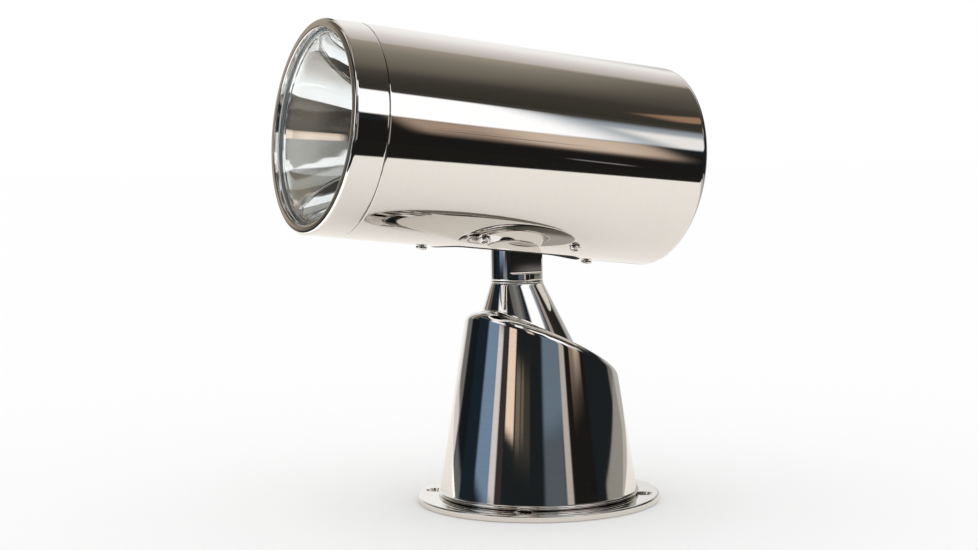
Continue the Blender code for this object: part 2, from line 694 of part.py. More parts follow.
def drive_screw_profile(seat, length):
    """A cheese-head screw whose head sits above the seat and whose shank runs down from it."""
    return [
        (0, seat - length),
        (DRIVE_SCREW_RADIUS, seat - length),
        (DRIVE_SCREW_RADIUS, seat + SEAT_GAP),
        (DRIVE_SCREW_HEAD, seat + SEAT_GAP),
        (DRIVE_SCREW_HEAD, seat + DRIVE_SCREW_HEIGHT),
        (0, seat + DRIVE_SCREW_HEIGHT),
    ]


def make_pan_motor(motor_finish, steel):
    place = pan_motor_place()
    top = PLATE_HEIGHT - SEAT_GAP
    profile = motor_profile(PAN_MOTOR_RADIUS, PAN_MOTOR_LENGTH, top, PAN_MOTOR_RADIUS / 2)
    motor = add_mesh("pan_motor", turned(profile, SMALL_SIDES), motor_finish, None, place)
    length = PLATE_THICKNESS + 2 * DRIVE_SCREW_HEAD
    for number, spot in enumerate(drive_screw_places(place, PAN_MOTOR_RADIUS), start=1):
        hole_low = PLATE_TOP - length - SEAT_GAP
        drill(motor, DRIVE_SCREW_RADIUS + SCREW_CLEARANCE, hole_low, PLATE_TOP, spot)
        profile = drive_screw_profile(PLATE_TOP, length)
        add_mesh(f"pan_motor_screw_{number}", turned(profile, SCREW_SIDES), steel, None, spot)


def make_pan_gear(brass, parent):
    """The large spur gear keyed to the post's shaft, with hubs above and below its web."""
    top = PAN_GEAR_HEIGHT + PAN_GEAR_WIDTH
    outline = gear_outline(PAN_GEAR_TEETH, PAN_MODULE, PAN_DRIVE_BEARING - PAN_AT_REST)
    gear = add_mesh("pan_gear", extruded(outline, PAN_GEAR_HEIGHT, top), brass, parent)
    bush_top = PLATE_TOP + SEAT_GAP + BUSH_WALL / 2
    hub = rod_profile(SHAFT_RADIUS + GEAR_HUB_WALL, bush_top + SEAT_GAP, top + GEAR_HUB_WALL / 2)
    hub_shape = add_mesh("pan_gear_hub", turned(hub, MIDDLE_SIDES), brass, parent)
    combine(gear, hub_shape, "UNION")
    hole = SHAFT_RADIUS + SEAT_GAP
    drill(gear, hole, PLATE_HEIGHT, NECK_TOP_HEIGHT, (0, 0, 0), MIDDLE_SIDES, "Z", parent)


def make_pan_pinion(steel, parent):
    """The pinion on the pan motor's shaft, a space between two teeth facing the large gear's tooth."""
    facing = math.pi + PAN_DRIVE_BEARING
    outline = gear_outline(PAN_PINION_TEETH, PAN_MODULE, facing + math.pi / PAN_PINION_TEETH)
    low = PAN_GEAR_HEIGHT - SEAT_GAP
    pinion = add_mesh(
        "pan_pinion", extruded(outline, low, low + PAN_GEAR_WIDTH + 2 * SEAT_GAP), steel, parent
    )
    bottom = PLATE_HEIGHT - SEAT_GAP - MOTOR_SHAFT_DEPTH
    shaft = rod_profile(MOTOR_SHAFT_RADIUS, bottom, low + PAN_GEAR_WIDTH + MOTOR_SHAFT_RADIUS)
    stub = add_mesh("pan_pinion_shaft", turned(shaft, SMALL_SIDES), steel, parent)
    combine(pinion, stub, "UNION")


# Post


def make_post(steel, parent):
    """Turned from one bar: shaft, collar and head, with two flats milled so that it passes the slot."""
    head_top = PIVOT_HEIGHT + POST_RADIUS
    groove = SHAFT_RADIUS - CLIP_DEPTH
    groove_low = CLIP_HEIGHT - SEAT_GAP
    groove_high = CLIP_HEIGHT + CLIP_THICKNESS + SEAT_GAP
    profile = [
        (0, SHAFT_END),
        (SHAFT_RADIUS, SHAFT_END),
        (SHAFT_RADIUS, groove_low),
        (groove, groove_low),
        (groove, groove_high),
        (SHAFT_RADIUS, groove_high),
        (SHAFT_RADIUS, COLLAR_BOTTOM),
        (POST_RADIUS, COLLAR_BOTTOM),
        (POST_RADIUS, head_top + POST_RADIUS),
        (0, head_top + POST_RADIUS),
    ]
    post = add_mesh("post", turned(profile, MIDDLE_SIDES), steel, parent)
    wide = 2 * POST_RADIUS
    eye = POST_RADIUS + SEAT_GAP
    crown = [(-eye, 0)] + arc((0, PIVOT_HEIGHT), eye, math.pi, 0, 18) + [(eye, 0)]
    combine(post, add_mesh("post_crown", extruded(crown, -wide, wide, "X"), steel, parent), "INTERSECT")
    for side in (-1, 1):
        near, far = sorted((side * POST_FLAT, side * wide))
        outline = [(near, -wide), (far, -wide), (far, wide), (near, wide)]
        flat = extruded(outline, SHOULDER_HEIGHT, head_top + wide)
        combine(post, add_mesh("post_flat_tool", flat, steel, parent), "DIFFERENCE")
    pivot = (0, 0, PIVOT_HEIGHT)
    drill(post, AXLE_BUSH_RADIUS + SEAT_GAP, -wide, wide, pivot, SMALL_SIDES, "X", parent)
    exit_height = PIVOT_HEIGHT - WIRE_EXIT_DROP
    drill(post, SHAFT_BORE, 0, exit_height + WIRE_EXIT_RADIUS / 2, (0, 0, 0), SMALL_SIDES, "Z", parent)
    drill(post, WIRE_EXIT_RADIUS, -SHAFT_BORE / 2, wide, (0, 0, exit_height), SMALL_SIDES, "Y", parent)
    hole = DRIVE_SCREW_RADIUS + SCREW_CLEARANCE
    for x, y, z in sector_screw_places():
        depth = sector_screw_depth()
        drill(post, hole, -depth, wide, (POST_FLAT, y, z), SCREW_SIDES, "X", parent)


def make_shaft_clip(steel, parent):
    """The open circlip in the groove below the lower bush."""
    inner = SHAFT_RADIUS - CLIP_DEPTH + SEAT_GAP
    outer = SHAFT_RADIUS + CLIP_WIDTH
    mouth = math.radians(28)
    outline = arc((0, 0), outer, mouth, math.tau - mouth, 16)
    outline += arc((0, 0), inner, math.tau - mouth, mouth, 16)
    clip = extruded(outline, CLIP_HEIGHT, CLIP_HEIGHT + CLIP_THICKNESS)
    add_mesh("shaft_clip", clip, steel, parent)


def make_slot_shield(plastic, parent):
    """A curved plate about the tilt axis that hides the barrel's slot from inside at every tilt."""
    inner = SHIELD_RADIUS - SHIELD_THICKNESS
    start, end = -math.pi / 2 - SHIELD_HALF_ARC, -math.pi / 2 + SHIELD_HALF_ARC
    outline = arc((0, 0), SHIELD_RADIUS, start, end, 17) + arc((0, 0), inner, end, start, 17)
    place = (0, 0, PIVOT_HEIGHT)
    shield = extruded(outline, -SHIELD_HALF_WIDTH, SHIELD_HALF_WIDTH, "X")
    shield = add_mesh("slot_shield", shield, plastic, parent, place)
    reach = POST_RADIUS + SEAT_GAP
    wide = POST_FLAT + SEAT_GAP
    corner = math.asin(wide / reach)
    hole = arc((0, 0), reach, math.pi / 2 - corner, math.pi / 2 + corner, 8)
    hole += arc((0, 0), reach, 3 * math.pi / 2 - corner, 3 * math.pi / 2 + corner, 8)
    tool = extruded(hole, SHOULDER_HEIGHT, PIVOT_HEIGHT)
    combine(shield, add_mesh("slot_shield_tool", tool, plastic, parent), "DIFFERENCE")


# Tilt drive on the post


def sector_screw_places():
    """Two screws that hold the sector to the post's right flat, below and behind the axle."""
    reach = AXLE_BUSH_RADIUS + 2 * DRIVE_SCREW_HEAD + 2 * SEAT_GAP
    spots = (math.radians(-35), math.radians(-145))
    return [(0, reach * math.cos(a), PIVOT_HEIGHT + reach * math.sin(a)) for a in spots]


def sector_screw_depth():
    return 2 * DRIVE_SCREW_HEAD


def sector_outline():
    """A hub plate that widens to a toothed arc, teeth towards the rear."""
    hub = AXLE_BUSH_RADIUS + 4 * DRIVE_SCREW_HEAD
    step = math.tau / SECTOR_TEETH
    first_tooth = -SECTOR_SPAN // 2 + 1
    bearings = [step * (first_tooth + index) - PITCH_AT_REST for index in range(SECTOR_SPAN)]
    teeth = [p for b in bearings for p in tooth_outline(SECTOR_TEETH, TILT_MODULE, b)]
    root = SECTOR_RADIUS - 1.2 * TILT_MODULE
    last, first = bearings[-1] + step / 2, bearings[0] - step / 2
    heel = root - 4 * TILT_MODULE
    ends = [bearing_point(root, last), bearing_point(heel, last)]
    tangent = math.radians(60)
    rim = arc((0, 0), hub, last + tangent, first + math.tau - tangent, 15)
    return teeth + ends + rim + [bearing_point(heel, first), bearing_point(root, first)]


def make_sector(brass, steel, parent):
    low = POST_FLAT + SEAT_GAP
    place = (0, 0, PIVOT_HEIGHT)
    shape = extruded(sector_outline(), low, low + SECTOR_WIDTH, "X")
    sector = add_mesh("tilt_sector", shape, brass, parent, place)
    bore = AXLE_BUSH_RADIUS + BUSH_WALL + SEAT_GAP
    drill(sector, bore, 0, 2 * CHEEK_SPACING, place, SMALL_SIDES, "X", parent)
    seat = low + SECTOR_WIDTH
    length = SECTOR_WIDTH + sector_screw_depth()
    profile = drive_screw_profile(seat, length - SEAT_GAP)
    hole = DRIVE_SCREW_RADIUS + SCREW_CLEARANCE
    for number, (_, y, z) in enumerate(sector_screw_places(), start=1):
        drill(sector, hole, 0, seat + low, (0, y, z), SCREW_SIDES, "X", parent)
        name = f"sector_screw_{number}"
        add_mesh(name, turned(profile, SCREW_SIDES, "X"), steel, parent, (0, y, z))


def make_axle_bushes(bronze, parent):
    """Flanged bushes pressed into the post's head, their long collars spacing the cheeks."""
    for name, side in (("axle_bush_left", -1), ("axle_bush_right", 1)):
        profile = [
            (AXLE_RADIUS + RUNNING_GAP, side * SEAT_GAP),
            (AXLE_BUSH_RADIUS, side * SEAT_GAP),
            (AXLE_BUSH_RADIUS, side * (POST_FLAT + SEAT_GAP)),
            (AXLE_BUSH_RADIUS + BUSH_WALL, side * (POST_FLAT + SEAT_GAP)),
            (AXLE_BUSH_RADIUS + BUSH_WALL, side * COLLAR_FLANGE),
            (AXLE_RADIUS + RUNNING_GAP, side * COLLAR_FLANGE),
        ]
        place = (0, 0, PIVOT_HEIGHT)
        add_mesh(name, turned(profile, SMALL_SIDES, "X"), bronze, parent, place)


# Barrel


def make_can(steel, parent):
    """The spun barrel: open at the bezel, closed and rounded at the rear, slotted underneath."""
    centre = (BARREL_RADIUS - BARREL_CORNER, BARREL_REAR - BARREL_CORNER)
    outer_corner = arc(centre, BARREL_CORNER, 0, math.pi / 2, 5)
    inner_corner = arc(centre, BARREL_CORNER - BARREL_WALL, math.pi / 2, 0, 3)
    profile = [(BARREL_BORE, -SEAM + SEAT_GAP), (BARREL_RADIUS, -SEAM + SEAT_GAP)]
    profile += outer_corner + [(0, BARREL_REAR), (0, BARREL_REAR - BARREL_WALL)] + inner_corner
    can = add_mesh("barrel_can", turned(profile, WIDE_SIDES, "Y"), steel, parent)
    cut_slot_and_holes(can, parent)


def slot_screw_places():
    """Each underside screw as (distance behind the pivot, bearing round from straight down)."""
    tips = [(side * TIP_SCREW_OFFSET, 0.0) for side in (-1, 1)]
    sides = [
        (side * SIDE_SCREW_OFFSET, turn * SIDE_SCREW_BEARING) for turn in (1, -1) for side in (-1, 1)
    ]
    return tips + sides


def cut_slot_and_holes(obj, parent):
    """The oval slot for the post and the six screw holes round it."""
    slot = extruded(oval(SLOT_HALF_LENGTH, SLOT_HALF_WIDTH), -1.2 * BARREL_RADIUS, -0.75 * BARREL_RADIUS)
    combine(obj, add_mesh("slot_tool", slot, obj.active_material, parent), "DIFFERENCE")
    hole = rod_profile(SLOT_SCREW_RADIUS + SCREW_CLEARANCE, -1.1 * BARREL_RADIUS, -0.9 * BARREL_RADIUS)
    for y, bearing in slot_screw_places():
        tool = add_mesh(
            "slot_hole_tool", turned(hole, HEAD_SIDES), obj.active_material, parent, (0, y, 0),
            (0, -bearing, 0),
        )
        combine(obj, tool, "DIFFERENCE")


def make_slot_screws(steel, parent):
    """Pan-head screws, heads down, that hold the chassis to the barrel."""
    seat = -BARREL_RADIUS - SEAT_GAP
    tip = -SADDLE_INNER + SADDLE_THICKNESS / 2
    profile = [
        (0, tip),
        (SLOT_SCREW_RADIUS, tip),
        (SLOT_SCREW_RADIUS, seat),
        (SLOT_SCREW_HEAD, seat),
        (SLOT_SCREW_HEAD, seat - 0.4 * SLOT_SCREW_DOME),
        (0.6 * SLOT_SCREW_HEAD, seat - SLOT_SCREW_DOME),
        (0, seat - SLOT_SCREW_DOME),
    ]
    for number, (y, bearing) in enumerate(slot_screw_places(), start=1):
        add_mesh(
            f"slot_screw_{number}", turned(profile, HEAD_SIDES), steel, parent, (0, y, 0),
            (0, -bearing, 0),
        )


def make_slot_seal(rubber, parent):
    """Rubber edging in the slot: a web through the wall and a flange on the saddle's inside."""
    outside = BARREL_RADIUS + SLOT_SEAL / 3
    inside = SADDLE_INNER - SEAT_GAP
    flange = inside - SLOT_SEAL / 2
    low, high = -1.2 * BARREL_RADIUS, -0.75 * BARREL_RADIUS
    grow = SLOT_SEAL
    web = extruded(oval(SLOT_HALF_LENGTH - SEAT_GAP, SLOT_HALF_WIDTH - SEAT_GAP), low, high)
    seal = add_mesh("slot_seal", web, rubber, parent)
    tube = turned(ring_profile(flange, outside, -BARREL_RADIUS, BARREL_RADIUS), WIDE_SIDES, "Y")
    combine(seal, add_mesh("slot_seal_tube", tube, rubber, parent), "INTERSECT")
    rim = extruded(oval(SLOT_HALF_LENGTH + grow, SLOT_HALF_WIDTH + grow), low, high)
    rim = add_mesh("slot_seal_rim", rim, rubber, parent)
    tube = turned(ring_profile(flange, inside, -BARREL_RADIUS, BARREL_RADIUS), WIDE_SIDES, "Y")
    combine(rim, add_mesh("slot_rim_tube", tube, rubber, parent), "INTERSECT")
    combine(seal, rim, "UNION")
    gap = SEAT_GAP + SLOT_SEAL
    hole = extruded(oval(SLOT_HALF_LENGTH - gap, SLOT_HALF_WIDTH - gap), 1.1 * low, 0.9 * high)
    combine(seal, add_mesh("slot_seal_hole", hole, rubber, parent), "DIFFERENCE")


def cheek_outline(with_motor):
    """A side plate from the saddle up to the axle's eye, and back to the motor where it carries one."""
    foot = -(SADDLE_INNER + SADDLE_OUTER) / 2
    depth = math.sqrt(foot ** 2 - (CHEEK_SPACING + CHEEK_THICKNESS / 2) ** 2)
    front = (-2.4 * CHEEK_EYE, -depth)
    if not with_motor:
        crown = arc((0, 0), CHEEK_EYE, 0.05 * math.pi, 0.95 * math.pi, 14)
        return [front, (2.4 * CHEEK_EYE, -depth)] + crown
    boss = TILT_MOTOR_RADIUS + 2 * SEAT_GAP
    back = (TILT_CENTRES + 0.4 * boss, -depth)
    motor_end = arc((TILT_CENTRES, 0), boss, -0.15 * math.pi, 0.5 * math.pi, 11)
    return [front, back] + motor_end + arc((0, 0), CHEEK_EYE, 0.5 * math.pi, 0.95 * math.pi, 8)


def make_chassis(steel, parent):
    """The welded chassis inside the barrel: a curved saddle and two cheeks that carry the axle."""
    half_arc = SADDLE_HALF_FACETS * math.tau / WIDE_SIDES
    count = 2 * SADDLE_HALF_FACETS + 1
    start, end = -math.pi / 2 - half_arc, -math.pi / 2 + half_arc
    outline = arc((0, 0), SADDLE_OUTER, start, end, count)
    outline += arc((0, 0), SADDLE_INNER, end, start, count)
    saddle = extruded(outline, -SADDLE_HALF_LENGTH, SADDLE_HALF_LENGTH, "Y")
    chassis = add_mesh("tilt_chassis", saddle, steel, parent)
    for side, with_motor in ((-1, False), (1, True)):
        low, high = sorted((side * CHEEK_SPACING, side * (CHEEK_SPACING + CHEEK_THICKNESS)))
        cheek = extruded(cheek_outline(with_motor), low, high, "X")
        combine(chassis, add_mesh("chassis_cheek", cheek, steel, parent), "UNION")
    cut_slot_and_holes(chassis, parent)
    reach = 2 * CHEEK_SPACING
    drill(chassis, AXLE_RADIUS + SEAT_GAP, -reach, reach, (0, 0, 0), SMALL_SIDES, "X", parent)
    motor = (0, TILT_CENTRES, 0)
    drill(chassis, 1.7 * MOTOR_SHAFT_RADIUS, 0, reach, motor, SMALL_SIDES, "X", parent)
    for y, z in tilt_screw_places():
        drill(chassis, DRIVE_SCREW_RADIUS + SCREW_CLEARANCE, 0, reach, (0, y, z), SCREW_SIDES, "X", parent)


def tilt_screw_places():
    reach = TILT_MOTOR_RADIUS - DRIVE_SCREW_HEAD
    return [(TILT_CENTRES, side * reach) for side in (-1, 1)]


def make_tilt_motor(motor_finish, steel, parent):
    """The geared motor on the outside of the right cheek, its shaft pointing inwards."""
    wire_end = TILT_MOTOR_RADIUS / 2
    profile = motor_profile(TILT_MOTOR_RADIUS, TILT_MOTOR_LENGTH, -TILT_MOTOR_FACE, wire_end)
    profile = [(radius, -height) for radius, height in profile]
    place = (0, TILT_CENTRES, 0)
    motor = add_mesh("tilt_motor", turned(profile, SMALL_SIDES, "X"), motor_finish, parent, place)
    length = CHEEK_THICKNESS + 2 * DRIVE_SCREW_HEAD
    head = drive_screw_profile(-CHEEK_SPACING, length)
    head = [(radius, -height) for radius, height in head]
    for number, (y, z) in enumerate(tilt_screw_places(), start=1):
        end = CHEEK_SPACING + length + SEAT_GAP
        drill(motor, DRIVE_SCREW_RADIUS + SCREW_CLEARANCE, 0, end, (0, y, z), SCREW_SIDES, "X", parent)
        name = f"tilt_motor_screw_{number}"
        add_mesh(name, turned(head, SCREW_SIDES, "X"), steel, parent, (0, y, z))


def make_tilt_pinion(steel, parent):
    """The pinion that walks round the sector, a space between two teeth facing the sector's tooth."""
    low = POST_FLAT
    high = low + SECTOR_WIDTH + 2 * SEAT_GAP
    outline = gear_outline(TILT_PINION_TEETH, TILT_MODULE, math.pi + math.pi / TILT_PINION_TEETH)
    pinion = add_mesh("tilt_pinion", extruded(outline, low, high, "X"), steel, parent)
    end = CHEEK_SPACING + CHEEK_THICKNESS + MOTOR_SHAFT_DEPTH
    shaft = rod_profile(MOTOR_SHAFT_RADIUS, low - SEAT_GAP, end)
    stub = add_mesh("tilt_pinion_shaft", turned(shaft, SMALL_SIDES, "X"), steel, parent)
    combine(pinion, stub, "UNION")


def make_axle(steel, parent):
    """The cross axle, grooved at both ends, and its two circlips."""
    outside = CHEEK_SPACING + CHEEK_THICKNESS
    groove = AXLE_RADIUS - CLIP_DEPTH
    low, high = outside, outside + CLIP_THICKNESS + 2 * SEAT_GAP
    end = high + CLIP_THICKNESS
    half = [
        (AXLE_RADIUS, low),
        (groove, low),
        (groove, high),
        (AXLE_RADIUS, high),
        (AXLE_RADIUS, end - CLIP_DEPTH / 2),
        (AXLE_RADIUS - CLIP_DEPTH / 2, end),
        (0, end),
    ]
    other = [(radius, -x) for radius, x in reversed(half)]
    add_mesh("tilt_axle", turned(other + half, SMALL_SIDES, "X"), steel, parent)
    clip = ring_profile(groove + SEAT_GAP, AXLE_RADIUS + CLIP_WIDTH, low + SEAT_GAP, high - SEAT_GAP)
    for name, side in (("axle_clip_left", -1), ("axle_clip_right", 1)):
        profile = [(radius, side * x) for radius, x in clip]
        add_mesh(name, turned(profile, SMALL_SIDES, "X"), steel, parent)


def make_bezel(steel, parent):
    """The front ring: rounded outer edge, inward lip over the glass, spigot into the barrel."""
    edge = arc((BARREL_RADIUS - BEZEL_EDGE, BARREL_FRONT - BEZEL_EDGE), BEZEL_EDGE, 0, math.pi / 2, 4)
    profile = [(BARREL_RADIUS, SEAM)] + edge
    profile += [
        (LIP_RADIUS, BARREL_FRONT - LIP_THICKNESS / 3),
        (LIP_RADIUS, BARREL_FRONT - LIP_THICKNESS),
        (BEZEL_BORE, BARREL_FRONT - LIP_THICKNESS),
        (BEZEL_BORE, SEAM - BEZEL_SPIGOT),
        (SPIGOT_RADIUS, SEAM - BEZEL_SPIGOT),
        (SPIGOT_RADIUS, SEAM),
    ]
    add_mesh("bezel_ring", turned(forward(profile), WIDE_SIDES, "Y"), steel, parent)


def forward(profile):
    """Turns distances ahead of the pivot into the barrel's own Y, which points to the rear."""
    return [(radius, -ahead) for radius, ahead in profile]


def make_lens(glass, rubber, parent):
    """The flat front glass in its angle-section gasket."""
    gasket = [
        (LIP_RADIUS + SEAT_GAP, GASKET_FRONT),
        (LENS_GASKET_RADIUS, GASKET_FRONT),
        (LENS_GASKET_RADIUS, GASKET_BACK),
        (GLASS_RADIUS + SEAT_GAP, GASKET_BACK),
        (GLASS_RADIUS + SEAT_GAP, GLASS_FRONT + SEAT_GAP),
        (LIP_RADIUS + SEAT_GAP, GLASS_FRONT + SEAT_GAP),
    ]
    add_mesh("lens_gasket", turned(forward(gasket), WIDE_SIDES, "Y"), rubber, parent)
    lens = [
        (0, GLASS_BACK),
        (GLASS_RADIUS - GLASS_EDGE, GLASS_BACK),
        (GLASS_RADIUS, GLASS_BACK + GLASS_EDGE),
        (GLASS_RADIUS, GLASS_FRONT - GLASS_EDGE),
        (GLASS_RADIUS - GLASS_EDGE, GLASS_FRONT),
        (0, GLASS_FRONT),
    ]
    add_mesh("lens_glass", turned(forward(lens), WIDE_SIDES, "Y"), glass, parent)


def make_reflector(mirror, aluminium, parent):
    """The spun parabolic bowl with its rim and neck, and the ring that clamps its rim."""
    steps = 5
    start = math.sqrt(REFLECTOR_NECK)
    end = math.sqrt(REFLECTOR_RIM)
    radii = [(start + (end - start) * step / (steps - 1)) ** 2 for step in range(steps)]
    inside = [(r, REFLECTOR_VERTEX + r ** 2 / (4 * REFLECTOR_FOCUS)) for r in radii]
    outside = []
    for radius, ahead in inside:
        slope = radius / (2 * REFLECTOR_FOCUS)
        size = math.hypot(1, slope)
        outside.append((radius + REFLECTOR_WALL * slope / size, ahead - REFLECTOR_WALL / size))
    rim = LENS_GASKET_RADIUS
    back = REFLECTOR_FRONT - REFLECTOR_WALL
    neck_end = REFLECTOR_VERTEX - REFLECTOR_NECK_LENGTH
    wall = outside[-1][0] + REFLECTOR_WALL / 4
    profile = inside + [(rim, REFLECTOR_FRONT), (rim, back), (wall, back)] + outside[-2:0:-1]
    neck = REFLECTOR_NECK + REFLECTOR_WALL
    profile += [(neck, inside[0][1] - REFLECTOR_WALL), (neck, neck_end), (REFLECTOR_NECK, neck_end)]
    add_mesh("reflector", turned(forward(profile), WIDE_SIDES, "Y"), mirror, parent)
    high = back - SEAT_GAP
    inner = wall + SEAT_GAP
    retainer = ring_profile(inner, LENS_GASKET_RADIUS, high - RETAINER_LENGTH, high)
    add_mesh("reflector_ring", turned(forward(retainer), WIDE_SIDES, "Y"), aluminium, parent)


def make_lamp(ceramic, bulb_glass, parent):
    """The halogen capsule and the ceramic holder in the reflector's neck."""
    neck_end = REFLECTOR_VERTEX - REFLECTOR_NECK_LENGTH
    seat = neck_end - SEAT_GAP
    plug = REFLECTOR_NECK - SEAT_GAP
    front = seat + HOLDER_LENGTH
    pocket = LAMP_RADIUS + SEAT_GAP
    floor = front - HOLDER_LENGTH / 2
    holder = [
        (0, seat - HOLDER_FLANGE),
        (plug + HOLDER_FLANGE, seat - HOLDER_FLANGE),
        (plug + HOLDER_FLANGE, seat),
        (plug, seat),
        (plug, front),
        (pocket, front),
        (pocket, floor),
        (0, floor),
    ]
    add_mesh("lamp_holder", turned(forward(holder), SMALL_SIDES, "Y"), ceramic, parent)
    low = floor + SEAT_GAP
    tip = low + LAMP_LENGTH
    dome = arc((0, tip - LAMP_RADIUS), LAMP_RADIUS, 0, math.pi / 2, 6)
    bulb = [(0, low), (LAMP_RADIUS, low)] + dome[:-1] + [(0, tip)]
    add_mesh("lamp_bulb", turned(forward(bulb), SMALL_SIDES, "Y"), bulb_glass, parent)


def main():
    clear_scene()
    polished = principled("Polished stainless steel", (0.77, 0.76, 0.74), 0.06, 1.0)
    plain_steel = principled("Bright steel", (0.62, 0.62, 0.63), 0.3, 1.0)
    aluminium = principled("Turned aluminium", (0.75, 0.76, 0.78), 0.35, 1.0)
    mirror = principled("Reflector mirror", (0.9, 0.91, 0.92), 0.03, 1.0)
    bronze = principled("Bearing bronze", (0.62, 0.42, 0.2), 0.35, 1.0)
    brass = principled("Gear brass", (0.75, 0.58, 0.28), 0.3, 1.0)
    rubber = principled("Black rubber", (0.02, 0.02, 0.022), 0.6, 0.0)
    plastic = principled("Black plastic", (0.03, 0.03, 0.032), 0.45, 0.0)
    motor_finish = principled("Motor casing", (0.25, 0.26, 0.28), 0.4, 0.6)
    ceramic = principled("Lamp ceramic", (0.85, 0.83, 0.78), 0.6, 0.0)
    glass = principled("Lens glass", (0.88, 0.95, 0.92), 0.02, 0.0, 0.3)
    bulb_glass = principled("Bulb glass", (0.95, 0.95, 0.95), 0.02, 0.0, 0.4)

    neck_axis = add_empty("neck_axis", (0, -PAN_OFFSET, 0))
    pan_axis = add_empty("pan_axis", (0, -PAN_OFFSET, 0), (0, 0, PAN_AT_REST))
    tilt_axis = add_empty("tilt_axis", (0, 0, PIVOT_HEIGHT), (-PITCH_AT_REST, 0, 0), pan_axis)
    pan_pinion_axis = add_empty("pan_pinion_axis", pan_motor_place())
    tilt_pinion_axis = add_empty("tilt_pinion_axis", (0, TILT_CENTRES, 0), (0, 0, 0), tilt_axis)

    make_flange(polished)
    make_base_gasket(rubber)
    make_cowl(polished)
    make_cowl_screws(plain_steel)
    make_grommet(rubber)
    make_neck_bearing(bronze, rubber, polished, neck_axis)
    make_drive_plate(aluminium, plain_steel)
    make_lower_bush(bronze, neck_axis)
    make_pan_motor(motor_finish, plain_steel)
    make_pan_pinion(plain_steel, pan_pinion_axis)

    make_post(polished, pan_axis)
    make_pan_gear(brass, pan_axis)
    make_shaft_clip(plain_steel, pan_axis)
    make_slot_shield(plastic, pan_axis)
    make_sector(brass, plain_steel, pan_axis)
    make_axle_bushes(bronze, pan_axis)

    make_can(polished, tilt_axis)
    make_bezel(polished, tilt_axis)
    make_lens(glass, rubber, tilt_axis)
    make_reflector(mirror, aluminium, tilt_axis)
    make_lamp(ceramic, bulb_glass, tilt_axis)
    make_chassis(plain_steel, tilt_axis)
    make_slot_seal(rubber, tilt_axis)
    make_slot_screws(polished, tilt_axis)
    make_axle(plain_steel, tilt_axis)
    make_tilt_motor(motor_finish, plain_steel, tilt_axis)
    make_tilt_pinion(plain_steel, tilt_pinion_axis)


main()
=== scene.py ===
"""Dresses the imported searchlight: a mirror-polished barrel on a panning post above a slanted cowl."""

import logging
import math
from dataclasses import dataclass, field
from enum import Enum
from typing import ClassVar

import bmesh
import bpy
from mathutils import Matrix, Vector


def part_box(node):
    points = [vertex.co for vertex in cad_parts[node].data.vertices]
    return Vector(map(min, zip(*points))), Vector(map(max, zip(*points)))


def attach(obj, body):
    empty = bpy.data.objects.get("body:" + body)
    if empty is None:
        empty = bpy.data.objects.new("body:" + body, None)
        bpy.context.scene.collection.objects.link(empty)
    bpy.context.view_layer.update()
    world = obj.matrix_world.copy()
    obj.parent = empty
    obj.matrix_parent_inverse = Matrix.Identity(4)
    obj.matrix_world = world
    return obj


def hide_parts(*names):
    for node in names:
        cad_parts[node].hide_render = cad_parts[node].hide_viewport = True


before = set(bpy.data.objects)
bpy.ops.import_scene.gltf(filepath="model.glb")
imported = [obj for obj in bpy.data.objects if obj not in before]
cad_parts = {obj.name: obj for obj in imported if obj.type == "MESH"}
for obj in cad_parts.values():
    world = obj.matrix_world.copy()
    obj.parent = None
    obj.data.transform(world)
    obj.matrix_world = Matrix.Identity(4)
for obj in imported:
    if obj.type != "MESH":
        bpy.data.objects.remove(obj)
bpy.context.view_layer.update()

log = logging.getLogger("searchlight")

Outline = list[tuple[float, float]]
Ring = list[tuple[float, float, float]]
Span = tuple[float, float]
Colour = tuple[float, float, float]
Piece = bpy.types.Object


class Axis(Enum):
    """An axis that an outline is spun round or pushed along."""

    X = (1.0, 0.0, 0.0)
    Y = (0.0, 1.0, 0.0)
    Z = (0.0, 0.0, 1.0)

    def spot(self, radius: float, along: float) -> tuple[float, float, float]:
        """Where a point of an outline to be spun lies."""
        return {"X": (along, radius, 0.0), "Y": (0.0, along, radius), "Z": (radius, 0.0, along)}[self.name]

    def section(self, first: float, second: float, along: float) -> tuple[float, float, float]:
        """Where a point of an outline to be pushed along the axis lies."""
        spots = {"X": (along, first, second), "Y": (first, along, second), "Z": (first, second, along)}
        return spots[self.name]


class Slot(Enum):
    """The record's material slots, one named with each new piece."""

    POLISHED = "polished"
    STEEL = "steel"
    ALUMINIUM = "aluminium"
    MIRROR = "mirror"
    RUBBER = "rubber"
    CERAMIC = "ceramic"
    GLASS = "glass"
    BULB = "bulb"


def arc(centre: Span, radius: float, start: float, end: float, count: int) -> Outline:
    """Gives the points of an arc.

    Args:
        centre: The middle of the arc.
        radius: Its radius.
        start: The first angle in degrees.
        end: The last angle in degrees.
        count: How many points it has, both ends included.

    Returns:
        The points in order.
    """
    turns = [math.radians(start + (end - start) * step / (count - 1)) for step in range(count)]
    return [(centre[0] + radius * math.cos(t), centre[1] + radius * math.sin(t)) for t in turns]


def spread(radius: float, bearings: tuple[float, ...]) -> list[Matrix]:
    """Gives places on a circle round the upright axis.

    Args:
        radius: The circle's radius.
        bearings: The places' bearings in degrees.

    Returns:
        One shift for each bearing.
    """
    turns = [math.radians(bearing) for bearing in bearings]
    return [Matrix.Translation((radius * math.cos(t), radius * math.sin(t), 0)) for t in turns]


